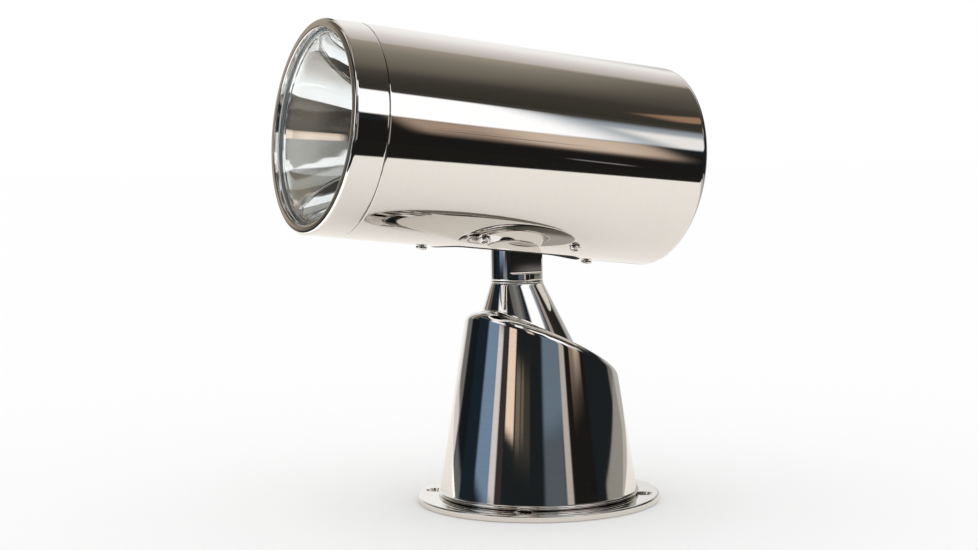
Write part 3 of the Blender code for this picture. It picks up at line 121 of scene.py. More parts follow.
def eased(outline: Outline, margin: float = 0.0008) -> Outline:
    """Adds a point near both ends of each long side, so that a smooth edge doesn't bend the flat beside it.

    Args:
        outline: The closed outline.
        margin: How far from its ends a side gets its extra points.

    Returns:
        The longer outline.
    """
    full = []
    for here, there in zip(outline, outline[1:] + outline[:1]):
        full.append(here)
        length = math.dist(here, there)
        if length > 3 * margin:
            for share in (margin / length, 1 - margin / length):
                full.append(tuple(a + (b - a) * share for a, b in zip(here, there)))
    return full


class Bench:
    """The modelling bench: new meshes are started, shaped and finished here."""

    def pick(self, obj: Piece) -> None:
        """Selects one object alone and makes it the active one.

        Args:
            obj: The object.
        """
        bpy.ops.object.select_all(action="DESELECT")
        obj.select_set(True)
        bpy.context.view_layer.objects.active = obj

    def ring(self, name: str, spots: Ring) -> Piece:
        """Adds a circle and sets its points.

        Args:
            name: The name of the piece.
            spots: Where the points go.

        Returns:
            The closed ring of edges.
        """
        bpy.ops.object.select_all(action="DESELECT")
        bpy.ops.mesh.primitive_circle_add(vertices=len(spots), radius=0.01, location=(0, 0, 0))
        made = bpy.context.object
        made.name = name
        made.data.name = name
        made.data.vertices.foreach_set("co", [value for spot in spots for value in spot])
        return made

    def edit(self, obj: Piece) -> None:
        """Opens one piece in edit mode with all of it selected.

        Args:
            obj: The piece.
        """
        self.pick(obj)
        bpy.ops.object.mode_set(mode="EDIT")
        bpy.ops.mesh.select_mode(type="VERT")
        bpy.ops.mesh.select_all(action="SELECT")

    def close(self, obj: Piece, doubles: float = 1e-6) -> Piece:
        """Merges doubles, drops loose edges, turns the faces outwards and leaves edit mode.

        Args:
            obj: The piece, which is open in edit mode.
            doubles: Points closer than this become one.

        Returns:
            The piece.
        """
        bpy.ops.mesh.select_all(action="SELECT")
        bpy.ops.mesh.remove_doubles(threshold=doubles)
        bpy.ops.mesh.delete_loose(use_verts=True, use_edges=True, use_faces=False)
        bpy.ops.mesh.select_all(action="SELECT")
        bpy.ops.mesh.normals_make_consistent(inside=False)
        bpy.ops.object.mode_set(mode="OBJECT")
        return obj

    def spun(self, name: str, outline: Outline, axis: Axis, sides: int = 128) -> Piece:
        """Spins a closed outline a full turn.

        Args:
            name: The name of the piece.
            outline: Its points as radius and distance along the axis.
            axis: The axis of the turn.
            sides: How many steps the turn has.

        Returns:
            The closed piece.
        """
        made = self.ring(name, [axis.spot(*point) for point in outline])
        self.edit(made)
        bpy.ops.mesh.spin(steps=sides, angle=math.tau, center=(0, 0, 0), axis=axis.value)
        return self.close(made)

    def pushed(self, name: str, outline: Outline, axis: Axis, low: float, high: float) -> Piece:
        """Fills a closed outline and extrudes it along an axis.

        Args:
            name: The name of the piece.
            outline: The points across the axis.
            axis: The axis of the extrusion.
            low: Where it starts.
            high: Where it ends.

        Returns:
            The closed piece.
        """
        made = self.ring(name, [axis.section(*point, low) for point in outline])
        self.edit(made)
        bpy.ops.mesh.edge_face_add()
        shift = Vector(axis.value) * (high - low)
        bpy.ops.mesh.extrude_region_move(TRANSFORM_OT_translate={"value": tuple(shift)})
        return self.close(made)

    def skinned(self, name: str, rings: list[Ring]) -> Piece:
        """Extrudes a ring of edges from station to station and joins the last to the first.

        Args:
            name: The name of the piece.
            rings: The stations, each with the same number of points.

        Returns:
            The closed piece.
        """
        made = self.ring(name, rings[0])
        self.edit(made)
        bpy.ops.mesh.select_mode(type="EDGE")
        places = {index: index for index in range(len(rings[0]))}
        for station in rings[1:] + rings[:1]:
            bpy.ops.mesh.extrude_region_move()
            shape = bmesh.from_edit_mesh(made.data)
            fresh = {}
            for vert in (vert for vert in shape.verts if vert.select):
                origin = next(e.other_vert(vert) for e in vert.link_edges if not e.other_vert(vert).select)
                fresh[vert.index] = places[origin.index]
                vert.co = station[fresh[vert.index]]
            places = fresh
            bmesh.update_edit_mesh(made.data)
        return self.close(made)

    def cut(self, body: Piece, tool: Piece, operation: str = "DIFFERENCE") -> None:
        """Cuts, joins or trims a piece with a tool, which is used up.

        Args:
            body: The piece that is shaped.
            tool: The closed mesh that shapes it.
            operation: What the Boolean modifier does.
        """
        self.pick(body)
        step = body.modifiers.new(operation.title(), "BOOLEAN")
        step.operation = operation
        step.solver = "EXACT"
        step.object = tool
        bpy.ops.object.modifier_apply(modifier=step.name)
        spare = tool.data
        bpy.data.objects.remove(tool)
        bpy.data.meshes.remove(spare)

    def drilled(self, body: Piece, outline: Outline, axis: Axis, sides: int, places: list[Matrix]) -> None:
        """Cuts the same turned hole into a piece at several places.

        Args:
            body: The piece.
            outline: The hole's outline as radius and distance along its axis.
            axis: The hole's axis before it is placed.
            sides: How many sides the hole has.
            places: Where the holes go.
        """
        for place in places:
            tool = self.spun("hole_tool", outline, axis, sides)
            self.cut(body, self.placed(tool, place))

    def copied(self, obj: Piece, name: str, matrix: Matrix) -> Piece:
        """Copies a piece with its own mesh and places the copy's points.

        Args:
            obj: The piece.
            name: The copy's name.
            matrix: The copy's place.

        Returns:
            The copy.
        """
        self.pick(obj)
        bpy.ops.object.duplicate(linked=False)
        made = bpy.context.object
        made.name = name
        made.data.name = name
        return self.placed(made, matrix)

    def placed(self, obj: Piece, matrix: Matrix) -> Piece:
        """Moves a piece to its place and applies the place to its points.

        Args:
            obj: The piece.
            matrix: Its place.

        Returns:
            The piece.
        """
        self.pick(obj)
        obj.matrix_world = matrix
        bpy.ops.object.transform_apply(location=True, rotation=True, scale=True)
        return obj

    def shaded(self, obj: Piece, degrees: float) -> None:
        """Shades a piece smooth up to an angle."""
        self.pick(obj)
        bpy.ops.object.shade_smooth_by_angle(angle=math.radians(degrees))


class Wire:
    """A node's output that takes part in sums, products and comparisons."""

    def __init__(self, graph: "Graph", socket: bpy.types.NodeSocket) -> None:
        """Keeps the graph and the socket."""
        self.graph = graph
        self.socket = socket

    def __add__(self, other: "Wire | float") -> "Wire":
        """Adds."""
        return self.graph.maths("ADD", self, other)

    __radd__ = __add__

    def __mul__(self, other: "Wire | float") -> "Wire":
        """Multiplies."""
        return self.graph.maths("MULTIPLY", self, other)

    __rmul__ = __mul__

    def __sub__(self, other: "Wire | float") -> "Wire":
        """Subtracts."""
        return self.graph.maths("SUBTRACT", self, other)

    def __rsub__(self, other: float) -> "Wire":
        """Subtracts this from a number."""
        return self.graph.maths("SUBTRACT", other, self)

    def __truediv__(self, other: "Wire | float") -> "Wire":
        """Divides."""
        return self.graph.maths("DIVIDE", self, other)


class Graph:
    """The node tree of a material or of the world, emptied and ready to be wired."""

    def __init__(self, tree: bpy.types.NodeTree) -> None:
        """Empties the tree."""
        self.tree = tree
        tree.nodes.clear()

    def node(
        self, kind: str, settings: dict | None = None, sockets: dict | None = None, output: str | int = 0
    ) -> Wire:
        """Adds a node, its settings first and then its sockets.

        Args:
            kind: The node's type.
            settings: Its properties, and the stops of a ramp.
            sockets: The values or wires of its inputs.
            output: Which output to hand back.

        Returns:
            The chosen output.
        """
        made = self.tree.nodes.new(kind)
        for key, value in (settings or {}).items():
            if key == "stops":
                ramp = made.color_ramp
                while len(ramp.elements) < len(value):
                    ramp.elements.new(0.5)
                for element, (position, colour) in zip(ramp.elements, value):
                    element.position = position
                    element.color = (*colour, 1.0)
            else:
                setattr(made, key, value)
        for key, value in (sockets or {}).items():
            if isinstance(value, Wire):
                self.tree.links.new(value.socket, made.inputs[key])
            elif value is not None:
                made.inputs[key].default_value = value
        return Wire(self, made.outputs[output] if len(made.outputs) else None)

    def maths(self, operation: str, *values: "Wire | float") -> Wire:
        """Adds a Math node."""
        return self.node("ShaderNodeMath", {"operation": operation}, dict(enumerate(values)))

    def part(self, where: Wire, output: int) -> Wire:
        """Takes one coordinate out of a vector."""
        return self.node("ShaderNodeSeparateXYZ", None, {"Vector": where}, output)

    def mixed(self, factor: "Wire | float", low: "Wire | Colour", high: "Wire | Colour") -> Wire:
        """Mixes two colours."""
        ends = [value if isinstance(value, Wire) else (*value, 1.0) for value in (low, high)]
        return self.node("ShaderNodeMix", {"data_type": "RGBA"}, {0: factor, 6: ends[0], 7: ends[1]}, 2)

    def step(self, value: Wire, low: float, high: float) -> Wire:
        """Rises smoothly from 0 to 1 between two values."""
        sockets = {"Value": value, "From Min": low, "From Max": high}
        return self.node("ShaderNodeMapRange", {"interpolation_type": "SMOOTHSTEP"}, sockets)

    def place(self, origin: Matrix = Matrix.Identity(4), stretch: Colour = (1, 1, 1)) -> Wire:
        """Object coordinates seen from a frame and stretched.

        Args:
            origin: The frame.
            stretch: How often a pattern repeats along each of its axes.

        Returns:
            The coordinates.
        """
        sockets = {
            "Vector": self.node("ShaderNodeTexCoord", output="Object"),
            "Location": tuple(origin.to_translation()),
            "Rotation": tuple(origin.to_euler()),
            "Scale": tuple(1.0 / value for value in stretch),
        }
        return self.node("ShaderNodeMapping", {"vector_type": "TEXTURE"}, sockets)

    def noise(self, where: Wire, scale: float, detail: float = 2.0, roughness: float = 0.5) -> Wire:
        """Noise from 0 to 1 at a place."""
        sockets = {"Vector": where, "Scale": scale, "Detail": detail, "Roughness": roughness}
        return self.node("ShaderNodeTexNoise", None, sockets)


def fresh(name: str) -> tuple[bpy.types.Material, Graph]:
    """Starts a material.

    Args:
        name: Its name.

    Returns:
        The material and its empty graph.
    """
    made = bpy.data.materials.new(name)
    made.use_nodes = True
    return made, Graph(made.node_tree)


@dataclass(frozen=True)
class Finish:
    """What every finish shares: a material whose shader takes what the finish wires up."""

    name: str

    def sockets(self, graph: Graph) -> dict:
        """Wires the shader's inputs."""
        raise NotImplementedError

    def material(self) -> bpy.types.Material:
        """Builds the material.

        Returns:
            The new material.
        """
        made, graph = fresh(self.name)
        shader = graph.node("ShaderNodeBsdfPrincipled", None, self.sockets(graph))
        graph.node("ShaderNodeOutputMaterial", None, {"Surface": shader})
        return made

    def bump(self, graph: Graph, height: Wire, distance: float) -> Wire:
        """Turns a height into a normal."""
        return graph.node("ShaderNodeBump", None, {"Height": height, "Distance": distance, "Strength": 1.0})


@dataclass(frozen=True)
class PolishedSteel(Finish):
    """Mirror-polished stainless steel with the fine rings of the polishing wheel."""

    origin: Matrix
    axis: Axis
    colour: Colour = (0.80, 0.775, 0.745)
    roughness: float = 0.035
    rings: float = 0.02
    shade: float = 0.07
    along: float = 1900.0
    across: float = 14.0
    smudged: float = 0.035
    least: float = 0.015
    depth: float = 0.0000012

    def sockets(self, graph: Graph) -> dict:
        """Wires the rings, the haze and the smudges of polished metal.

        Args:
            graph: The material's graph.

        Returns:
            The shader's inputs.
        """
        fine = tuple(self.along if part else self.across for part in self.axis.value)
        lines = graph.noise(graph.place(self.origin, fine), 1.0, 3.0, 0.6)
        haze = graph.noise(graph.place(self.origin), 22.0, 4.0, 0.6)
        smudge = graph.step(haze, 0.56, 0.74)
        rough = self.roughness + (lines - 0.5) * (2 * self.rings) + smudge * self.smudged
        tone = graph.mixed(
            graph.step(haze, 0.3, 0.75) * 0.5 + graph.step(lines, 0.42, 0.62) * 0.5,
            self.colour, tuple(value * (1 - self.shade) for value in self.colour),
        )
        return {
            "Base Color": tone,
            "Metallic": 1.0,
            "Roughness": graph.maths("MAXIMUM", rough, self.least),
            "Normal": self.bump(graph, lines, self.depth),
        }


@dataclass(frozen=True)
class MachinedMetal(Finish):
    """Turned or milled metal that nobody polished."""

    colour: Colour
    roughness: float = 0.32
    stretch: tuple[float, float, float] = (60.0, 60.0, 900.0)
    dulling: float = 0.72
    depth: float = 0.00002

    def sockets(self, graph: Graph) -> dict:
        """Wires the cuts and stains of machined metal.

        Args:
            graph: The material's graph.

        Returns:
            The shader's inputs.
        """
        cuts = graph.noise(graph.place(stretch=self.stretch), 1.0, 3.0)
        stain = graph.noise(graph.place(), 90.0, 3.0)
        dull = tuple(value * self.dulling for value in self.colour)
        return {
            "Base Color": graph.mixed(graph.step(stain, 0.35, 0.8), self.colour, dull),
            "Metallic": 1.0,
            "Roughness": self.roughness + (cuts - 0.5) * 0.2 + (stain - 0.5) * 0.12,
            "Normal": self.bump(graph, cuts, self.depth),
        }


@dataclass(frozen=True)
class Moulding(Finish):
    """Moulded rubber, plastic or ceramic, or a painted case, with a fine grain."""

    colour: Colour
    worn: Colour
    roughness: float
    grain: float = 1400.0
    depth: float = 0.00003
    metallic: float = 0.0

    def sockets(self, graph: Graph) -> dict:
        """Wires the grain and wear of a moulding.

        Args:
            graph: The material's graph.

        Returns:
            The shader's inputs.
        """
        where = graph.place()
        grain = graph.noise(where, self.grain, 3.0)
        wear = graph.noise(where, 70.0, 4.0, 0.6)
        return {
            "Base Color": graph.mixed(graph.step(wear, 0.45, 0.8), self.colour, self.worn),
            "Metallic": self.metallic,
            "Roughness": self.roughness + (wear - 0.5) * 0.2 + (grain - 0.5) * 0.1,
            "Normal": self.bump(graph, grain, self.depth),
        }


@dataclass(frozen=True)
class MirrorCoat(Finish):
    """The vapour-deposited mirror of the reflector, with a little dust."""

    colour: Colour = (0.97, 0.98, 0.99)
    dusty: Colour = (0.7, 0.7, 0.69)
    roughness: float = 0.02

    def sockets(self, graph: Graph) -> dict:
        """Wires the dust and haze of the mirror.

        Args:
            graph: The material's graph.

        Returns:
            The shader's inputs.
        """
        where = graph.place()
        dust = graph.step(graph.noise(where, 900.0, 2.0), 0.66, 0.78)
        haze = graph.noise(where, 30.0, 3.0)
        return {
            "Base Color": graph.mixed(dust, self.colour, self.dusty),
            "Metallic": 1.0,
            "Roughness": self.roughness + haze * self.roughness + dust * 0.15,
        }


@dataclass(frozen=True)
class ClearGlass(Finish):
    """Clear glass with a few specks of dust."""

    colour: Colour
    ior: float = 1.5
    speckled: float = 0.93

    def sockets(self, graph: Graph) -> dict:
        """Wires the specks on the glass.

        Args:
            graph: The material's graph.

        Returns:
            The shader's inputs.
        """
        where = graph.place()
        speck = graph.step(graph.noise(where, 700.0, 2.0), 0.72, 0.8)
        dusty = tuple(value * self.speckled for value in self.colour)
        return {
            "Base Color": graph.mixed(speck, self.colour, dusty),
            "Roughness": speck * 0.08,
            "IOR": self.ior,
            "Transmission Weight": 1.0,
        }


@dataclass
class Rig:
    """The frames that the searchlight's three bodies are modelled in."""

    pan_offset: float = 0.0174
    pivot_height: float = 0.2584
    pan_degrees: float = -7.5
    pitch_degrees: float = 6.6

    def neck(self) -> Matrix:
        """The fixed neck's frame."""
        return Matrix.Translation((0, -self.pan_offset, 0))

    def post(self) -> Matrix:
        """The post's frame, turned by the pan."""
        return self.neck() @ Matrix.Rotation(math.radians(self.pan_degrees), 4, "Z")

    def barrel(self) -> Matrix:
        """The barrel's frame, at the tilt axle."""
        tilt = Matrix.Rotation(math.radians(-self.pitch_degrees), 4, "X")
        return self.post() @ Matrix.Translation((0, 0, self.pivot_height)) @ tilt


class Wardrobe:
    """The finishes of this searchlight, each built once."""

    def __init__(self, rig: Rig) -> None:
        """Lists the finishes.

        Args:
            rig: The frames that the polishing lines follow.
        """
        home = Matrix.Identity(4)
        self.listed = {
            "base polish": PolishedSteel("base_polish", home, Axis.Z),
            "post polish": PolishedSteel("post_polish", rig.post(), Axis.Z),
            "barrel polish": PolishedSteel("barrel_polish", rig.barrel(), Axis.Y, shade=0.035),
            "bright steel": MachinedMetal("bright_steel", (0.56, 0.56, 0.57), 0.28),
            "turned aluminium": MachinedMetal("turned_aluminium", (0.72, 0.73, 0.75), 0.34),
            "bearing bronze": MachinedMetal("bearing_bronze", (0.56, 0.36, 0.16), 0.36),
            "gear brass": MachinedMetal("gear_brass", (0.72, 0.52, 0.2), 0.3),
            "mirror": MirrorCoat("reflector_mirror"),
            "silicone": Moulding("clear_silicone", (0.82, 0.85, 0.82), (0.86, 0.88, 0.86), 0.4),
            "rubber": Moulding("black_rubber", (0.018, 0.018, 0.02), (0.04, 0.04, 0.042), 0.62),
            "plastic": Moulding("black_plastic", (0.022, 0.022, 0.024), (0.03, 0.03, 0.03), 0.42, 2600.0),
            "motor": Moulding("motor_case", (0.2, 0.21, 0.23), (0.3, 0.3, 0.31), 0.4, 1800.0, 0.00001, 0.5),
            "ceramic": Moulding("lamp_ceramic", (0.8, 0.78, 0.72), (0.66, 0.63, 0.57), 0.55),
            "glass": ClearGlass("lens_glass", (0.985, 0.998, 0.992)),
            "ground glass": Moulding("ground_glass", (0.90, 0.95, 0.92), (0.93, 0.96, 0.94), 0.6),
            # painted shade: a near-black finish for the bezel's spigot that darkens the seam gap between
            # bezel and can
            "seam shadow": Moulding(
                "painted_seam_shadow", (0.03, 0.028, 0.026), (0.05, 0.048, 0.045), 0.5, metallic=0.4
            ),
            "bulb": ClearGlass("bulb_glass", (0.97, 0.97, 0.97), 1.46),
        }
        self.built: dict[str, bpy.types.Material] = {}

    def get(self, name: str) -> bpy.types.Material:
        """Builds a finish at its first use and hands it out.

        Args:
            name: The finish's name in the list.

        Returns:
            Its material.
        """
        if name not in self.built:
            self.built[name] = self.listed[name].material()
        return self.built[name]

    def dress(self, obj: Piece, name: str) -> None:
        """Gives an object one finish all over."""
        obj.data.materials.clear()
        obj.data.materials.append(self.get(name))


@dataclass
class Assembly:
    """A sub-assembly: its rig, bench and wardrobe, and how it hands over a finished piece."""

    body: ClassVar[str] = "base"
    rig: Rig
    bench: Bench
    wardrobe: Wardrobe

    def home(self) -> Matrix:
        """The frame that the sub-assembly's pieces are modelled in."""
        return Matrix.Identity(4)

    def deliver(self, piece: Piece, finish: str, slot: Slot, node: str, smooth: float = 30.0) -> None:
        """Places, smooths and dresses a piece, hangs it on its body and hides the CAD node that it stands
        for.

        Args:
            piece: The modelled piece.
            finish: Its finish in the wardrobe.
            slot: The record's material slot; not used.
            node: The CAD node that it stands for.
            smooth: The angle in degrees up to which it is shaded smooth.
        """
        self.bench.placed(piece, self.home())
        self.bench.shaded(piece, smooth)
        self.wardrobe.dress(piece, finish)
        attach(piece, self.body)
        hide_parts(node)
        log.info("%s: %d faces on %s", piece.name, len(piece.data.polygons), self.body)

    def facing(self, piece: Piece, finish: str, inner: float, outer: float) -> None:
        """Gives the faces between two radii of the barrel another finish.

        Args:
            piece: A piece on the barrel's axis.
            finish: The other finish.
            inner: The smaller radius.
            outer: The larger radius.
        """
        piece.data.materials.append(self.wardrobe.get(finish))
        home = self.home().inverted()
        for face in piece.data.polygons:
            spots = [home @ piece.data.vertices[index].co for index in face.vertices]
            if all(inner < math.hypot(spot.x, spot.z) < outer for spot in spots):
                face.material_index = 1


@dataclass
class MountingFoot(Assembly):
    """The flange, its gasket, the cable grommet and the screws from below."""

    radius: float = 0.0894
    thickness: float = 0.005
    edge: float = 0.0013
    nick: float = 0.0005
    root: float = 0.0002
    hole_inset: float = 0.0114
    hole_radius: float = 0.0035
    hole_bearings: tuple[float, ...] = (45, 135, 225, 315)
    deburr: float = 0.0004
    sink_radius: float = 0.0072
    sink_depth: float = 0.0037
    sink_lip: float = 0.00005
    sink_flare: float = 0.0003
    cowl_foot: float = 0.0734
    cowl_wall: float = 0.0035
    register_height: float = 0.003
    register_width: float = 0.004
    gasket_thickness: float = 0.0012
    gasket_bulge: float = 0.0006
    cable_offset: float = 0.046
    cable_radius: float = 0.008
    cable_bore: float = 0.005
    lip: float = 0.0025
    outer_roll: float = 0.0011
    inner_roll: float = 0.001
    screw_bearings: tuple[float, ...] = (0, 90, 180, 270)
    screw_margin: float = 0.0045
    screw_head: float = 0.004
    screw_radius: float = 0.002
    screw_reach: float = 0.006
    socket_radius: float = 0.0018
    socket_depth: float = 0.0017
    gap: float = 0.0003

    def build(self) -> None:
        """Makes the foot's pieces."""
        self.flange()
        self.gasket()
        self.grommet()
        self.screws()

    def register_outer(self) -> float:
        """Radius of the ring that centres the cowl."""
        return self.cowl_foot - self.cowl_wall - self.gap

    def screw_circle(self) -> float:
        """Radius of the circle that the cowl's screws stand on."""
        return self.register_outer() - self.register_width - self.screw_margin - self.gap

    def flange(self) -> None:
        """The thick disc with a softened edge, four countersunk holes and pockets underneath."""
        top, nick = self.thickness, self.nick
        outer = self.register_outer()
        inner, crest = outer - self.register_width, top + self.register_height
        outline = [(0, 0), (self.radius - nick, 0), (self.radius, nick)]
        outline += arc((self.radius - self.edge, top - self.edge), self.edge, 0, 90, 8)
        outline += [(outer + self.root, top), (outer, top + self.root), (outer, crest - nick)]
        outline += [(outer - nick, crest), (inner, crest), (inner, top), (0, top)]
        made = self.bench.spun("flange_disc", eased(outline), Axis.Z, 256)
        hole, sink = self.hole_radius, self.sink_radius
        slope = (sink - hole) / self.sink_depth
        outline = [(0, -top), (hole + self.deburr, -top), (hole + self.deburr, 0), (hole, self.deburr)]
        outline += [(hole, top - self.sink_depth), (sink, top - self.sink_lip)]
        outline += [(sink + self.sink_flare, top + self.sink_flare)]
        outline += [(sink + slope * top, 2 * top), (0, 2 * top)]
        circle = self.radius - self.hole_inset
        self.bench.drilled(made, outline, Axis.Z, 64, spread(circle, self.hole_bearings))
        outline = [(0, -top), (self.cable_radius, -top), (self.cable_radius, 3 * top), (0, 3 * top)]
        self.bench.drilled(made, outline, Axis.Z, 48, [Matrix.Translation((0, self.cable_offset, 0))])
        head, shank, seat = self.screw_head + self.gap, self.screw_radius + self.gap, top / 2 + self.gap
        outline = [(0, -top), (head, -top), (head, seat), (shank, seat), (shank, 3 * top), (0, 3 * top)]
        self.bench.drilled(made, outline, Axis.Z, 32, spread(self.screw_circle(), self.screw_bearings))
        self.deliver(made, "base polish", Slot.POLISHED, "mounting_flange")

    def gasket(self) -> None:
        """The thin rubber ring under the cowl, a little bulged by its weight."""
        bulge = self.gasket_bulge
        outer, inner = self.cowl_foot - 2 * self.gap, self.cowl_foot - self.cowl_wall + self.gap
        low = self.thickness + self.gap
        high = low + self.gasket_thickness
        outline = [(inner, low), (outer - bulge / 2, low)]
        outline += arc((outer - bulge, (low + high) / 2), bulge, -60, 60, 5)
        outline += [(outer - bulge / 2, high), (inner, high)]
        made = self.bench.spun("foot_gasket", outline, Axis.Z, 192)
        self.deliver(made, "rubber", Slot.RUBBER, "base_gasket")

    def grommet(self) -> None:
        """The cable grommet with a rolled lip."""
        outer, top, low = self.cable_radius - self.gap, self.thickness + self.gap, self.gap
        brim, roll, bead = outer + self.lip, self.outer_roll, self.inner_roll
        outline = [(self.cable_bore + self.nick, low), (outer - self.deburr, low), (outer, low + self.deburr)]
        outline += [(outer, top), (brim - roll + self.nick, top)]
        outline += arc((brim - roll, top + roll), roll, -60, 90, 6)
        outline += arc((self.cable_bore + bead, top + self.lip - bead), bead, 90, 180, 5)
        outline += [(self.cable_bore, low + self.nick)]
        made = self.bench.spun("grommet", outline, Axis.Z, 64)
        self.bench.placed(made, Matrix.Translation((0, self.cable_offset, 0)))
        self.deliver(made, "rubber", Slot.RUBBER, "cable_grommet")

    def screws(self) -> None:
        """Cap screws with a hexagon socket, sunk into the flange's underside."""
        seat, low = self.thickness / 2, self.gap
        length = self.thickness + self.register_height + self.screw_reach - self.gap
        head, shank = self.screw_head, self.screw_radius
        outline = [(0, low), (head - self.deburr, low), (head, low + self.deburr), (head, seat)]
        outline += [(shank, seat), (shank, length - self.nick), (shank - self.nick, length), (0, length)]
        made = self.bench.spun("cowl_screw", outline, Axis.Z, 40)
        socket, deep = arc((0, 0), self.socket_radius, 0, 300, 6), self.socket_depth
        self.bench.cut(made, self.bench.pushed("socket_tool", socket, Axis.Z, -deep, deep))
        for number, place in enumerate(spread(self.screw_circle(), self.screw_bearings), start=1):
            piece = self.bench.copied(made, f"foot_screw_{number}", place)
            self.deliver(piece, "bright steel", Slot.STEEL, f"cowl_screw_{number}")
        bpy.data.objects.remove(made)


@dataclass
class SlantedCowl(Assembly):
    """The tapered drum whose slanted top runs up into the leaning neck."""

    sides: int = 224
    foot_radius: float = 0.0734
    taper: float = math.radians(9.15)
    wall: float = 0.0025
    bottom: float = 0.0068
    step: float = 0.0005
    bead_low: float = 0.00535
    bead_height: float = 0.0034
    bead_sink: float = 0.0007
    tuck: float = 0.0003
    groove: float = 0.0002
    support: float = 0.0008
    top_middle: float = 0.119
    slope: float = math.radians(26.9)
    rim_front: float = 0.0055
    rim_rear: float = 0.0088
    rim_bias: float = 0.6
    neck_foot: float = 0.0364
    neck_offset: float = 0.0059
    fillet: float = 0.0025
    neck_top: float = 0.1621
    neck_radius: float = 0.0195
    neck_edge: float = 0.0006
    bore: float = 0.0154
    bore_edge: float = 0.0004
    boss: float = 0.0194
    boss_bottom: float = 0.1112
    washer_thickness: float = 0.0014
    washer_radius: float = 0.0193
    washer_bore: float = 0.0124
    gap: float = 0.0003

    def build(self) -> None:
        """Makes the cowl and the washer on its neck."""
        self.shell()
        self.washer()

    def turns(self) -> list[float]:
        """The bearings of the rings' points."""
        return [math.tau * step / self.sides for step in range(self.sides)]

    def level(self, radius: float, height: float, offset: float = 0.0) -> Ring:
        """A level round ring."""
        return [(radius * math.cos(t), radius * math.sin(t) - offset, height) for t in self.turns()]

    def top_height(self, y: float) -> float:
        """Height of the slanted top at a distance behind the centre."""
        return self.top_middle - math.tan(self.slope) * y

    def corner(self, peak: Vector, one: Vector, other: Vector, radius: float, count: int) -> list[Vector]:
        """Rounds a corner between two directions.

        Args:
            peak: The sharp corner.
            one: The direction from it along the first side.
            other: The direction from it along the second side.
            radius: The radius of the round.
            count: How many points it has.

        Returns:
            The points from the first side to the second, with an extra one just outside each end.
        """
        one, other = one.normalized(), other.normalized()
        middle = (one + other).normalized()
        half = one.angle(other) / 2
        centre = peak + middle * radius / math.sin(half)
        across = (other - one).normalized()
        sweep = math.pi / 2 - half
        points = []
        for step in range(count):
            turn = sweep * (2 * step / (count - 1) - 1)
            points.append(centre + radius * (across * math.sin(turn) - middle * math.cos(turn)))
        return [points[0] + one * self.support] + points + [points[-1] + other * self.support]

    def outside(self) -> list[Ring]:
        """Works out the outer skin, from the bead at the foot to the rounded top of the neck.

        Returns:
            Its rings.
        """
        lean = math.tan(self.taper)
        half = self.bead_height / 2
        rings = [self.level(self.foot_radius - self.tuck, self.bead_low)]
        middle = (self.foot_radius - self.bead_sink, self.bead_low + half)
        rings += [self.level(radius, height) for radius, height in arc(middle, half, -74, 60, 9)]
        groove = self.bead_low + self.bead_height - self.groove
        above = groove + self.support
        rings.append(self.level(self.foot_radius - lean * (groove - self.bottom), groove + self.groove / 2))
        rings.append(self.level(self.foot_radius - lean * (above - self.bottom), above))
        rim, root = [], []
        for t in self.turns():
            out = Vector((math.cos(t), math.sin(t), 0))
            fall = math.tan(self.slope) * math.sin(t)
            reach = (self.foot_radius - lean * (self.top_middle - self.bottom)) / (1 - lean * fall)
            peak = out * reach + Vector((0, 0, self.top_middle - fall * reach))
            down = out * lean - Vector((0, 0, 1))
            inward = Vector((0, 0, fall)) - out
            share = ((1 + math.sin(t)) / 2) ** self.rim_bias
            radius = self.rim_front + (self.rim_rear - self.rim_front) * share
            rim.append(self.corner(peak, down, inward, radius, 13))
            base = Vector((0, -self.neck_offset, 0)) + out * self.neck_foot
            base.z = self.top_height(base.y)
            crown = Vector((0, -self.rig.pan_offset, self.neck_top)) + out * self.neck_radius
            root.append(self.corner(base, -inward, crown - base, self.fillet, 9))
        rings += [[tuple(point) for point in ring] for ring in zip(*rim)]
        rings += [[tuple(point) for point in ring] for ring in zip(*root)]
        edge, below = self.neck_edge, self.neck_top - 2.5 * self.neck_edge
        rings.append(self.level(self.neck_radius + self.tuck, below, self.rig.pan_offset))
        for radius, height in arc((self.neck_radius - edge, self.neck_top - edge), edge, 10, 90, 5):
            rings.append(self.level(radius, height, self.rig.pan_offset))
        return rings

    def inside(self) -> list[Ring]:
        """Works out the inner skin, from the neck's bore through the shell to its foot.

        Returns:
            Its rings.
        """
        lean = math.tan(self.taper)
        drop = self.wall / math.cos(self.slope)
        foot = self.foot_radius - self.wall / math.cos(self.taper)
        offset = self.rig.pan_offset
        rings = [
            self.level(self.bore + self.bore_edge, self.neck_top, offset),
            self.level(self.bore, self.neck_top - self.bore_edge, offset),
            self.level(self.bore, self.boss_bottom, offset),
            self.level(self.boss, self.boss_bottom, offset),
        ]
        root, corner = [], []
        for t in self.turns():
            x, y = self.boss * math.cos(t), self.boss * math.sin(t) - offset
            root.append((x, y, self.top_height(y) - drop))
            fall = math.tan(self.slope) * math.sin(t)
            reach = (foot - lean * (self.top_middle - drop - self.bottom)) / (1 - lean * fall)
            corner.append((reach * math.cos(t), reach * math.sin(t), self.top_middle - drop - fall * reach))
        rings += [root, corner]
        rings.append(self.level(foot - lean * self.bead_height, self.bottom + self.bead_height))
        rings.append(self.level(self.foot_radius - self.wall - self.step, self.bottom))
        rings.append(self.level(self.foot_radius - self.step, self.bottom))
        rings.append(self.level(self.foot_radius - self.step, self.bead_low))
        return rings

    def shell(self) -> None:
        """The cast shell."""
        made = self.bench.skinned("cowl_shell", self.outside() + self.inside())
        self.deliver(made, "base polish", Slot.POLISHED, "base_cowl")

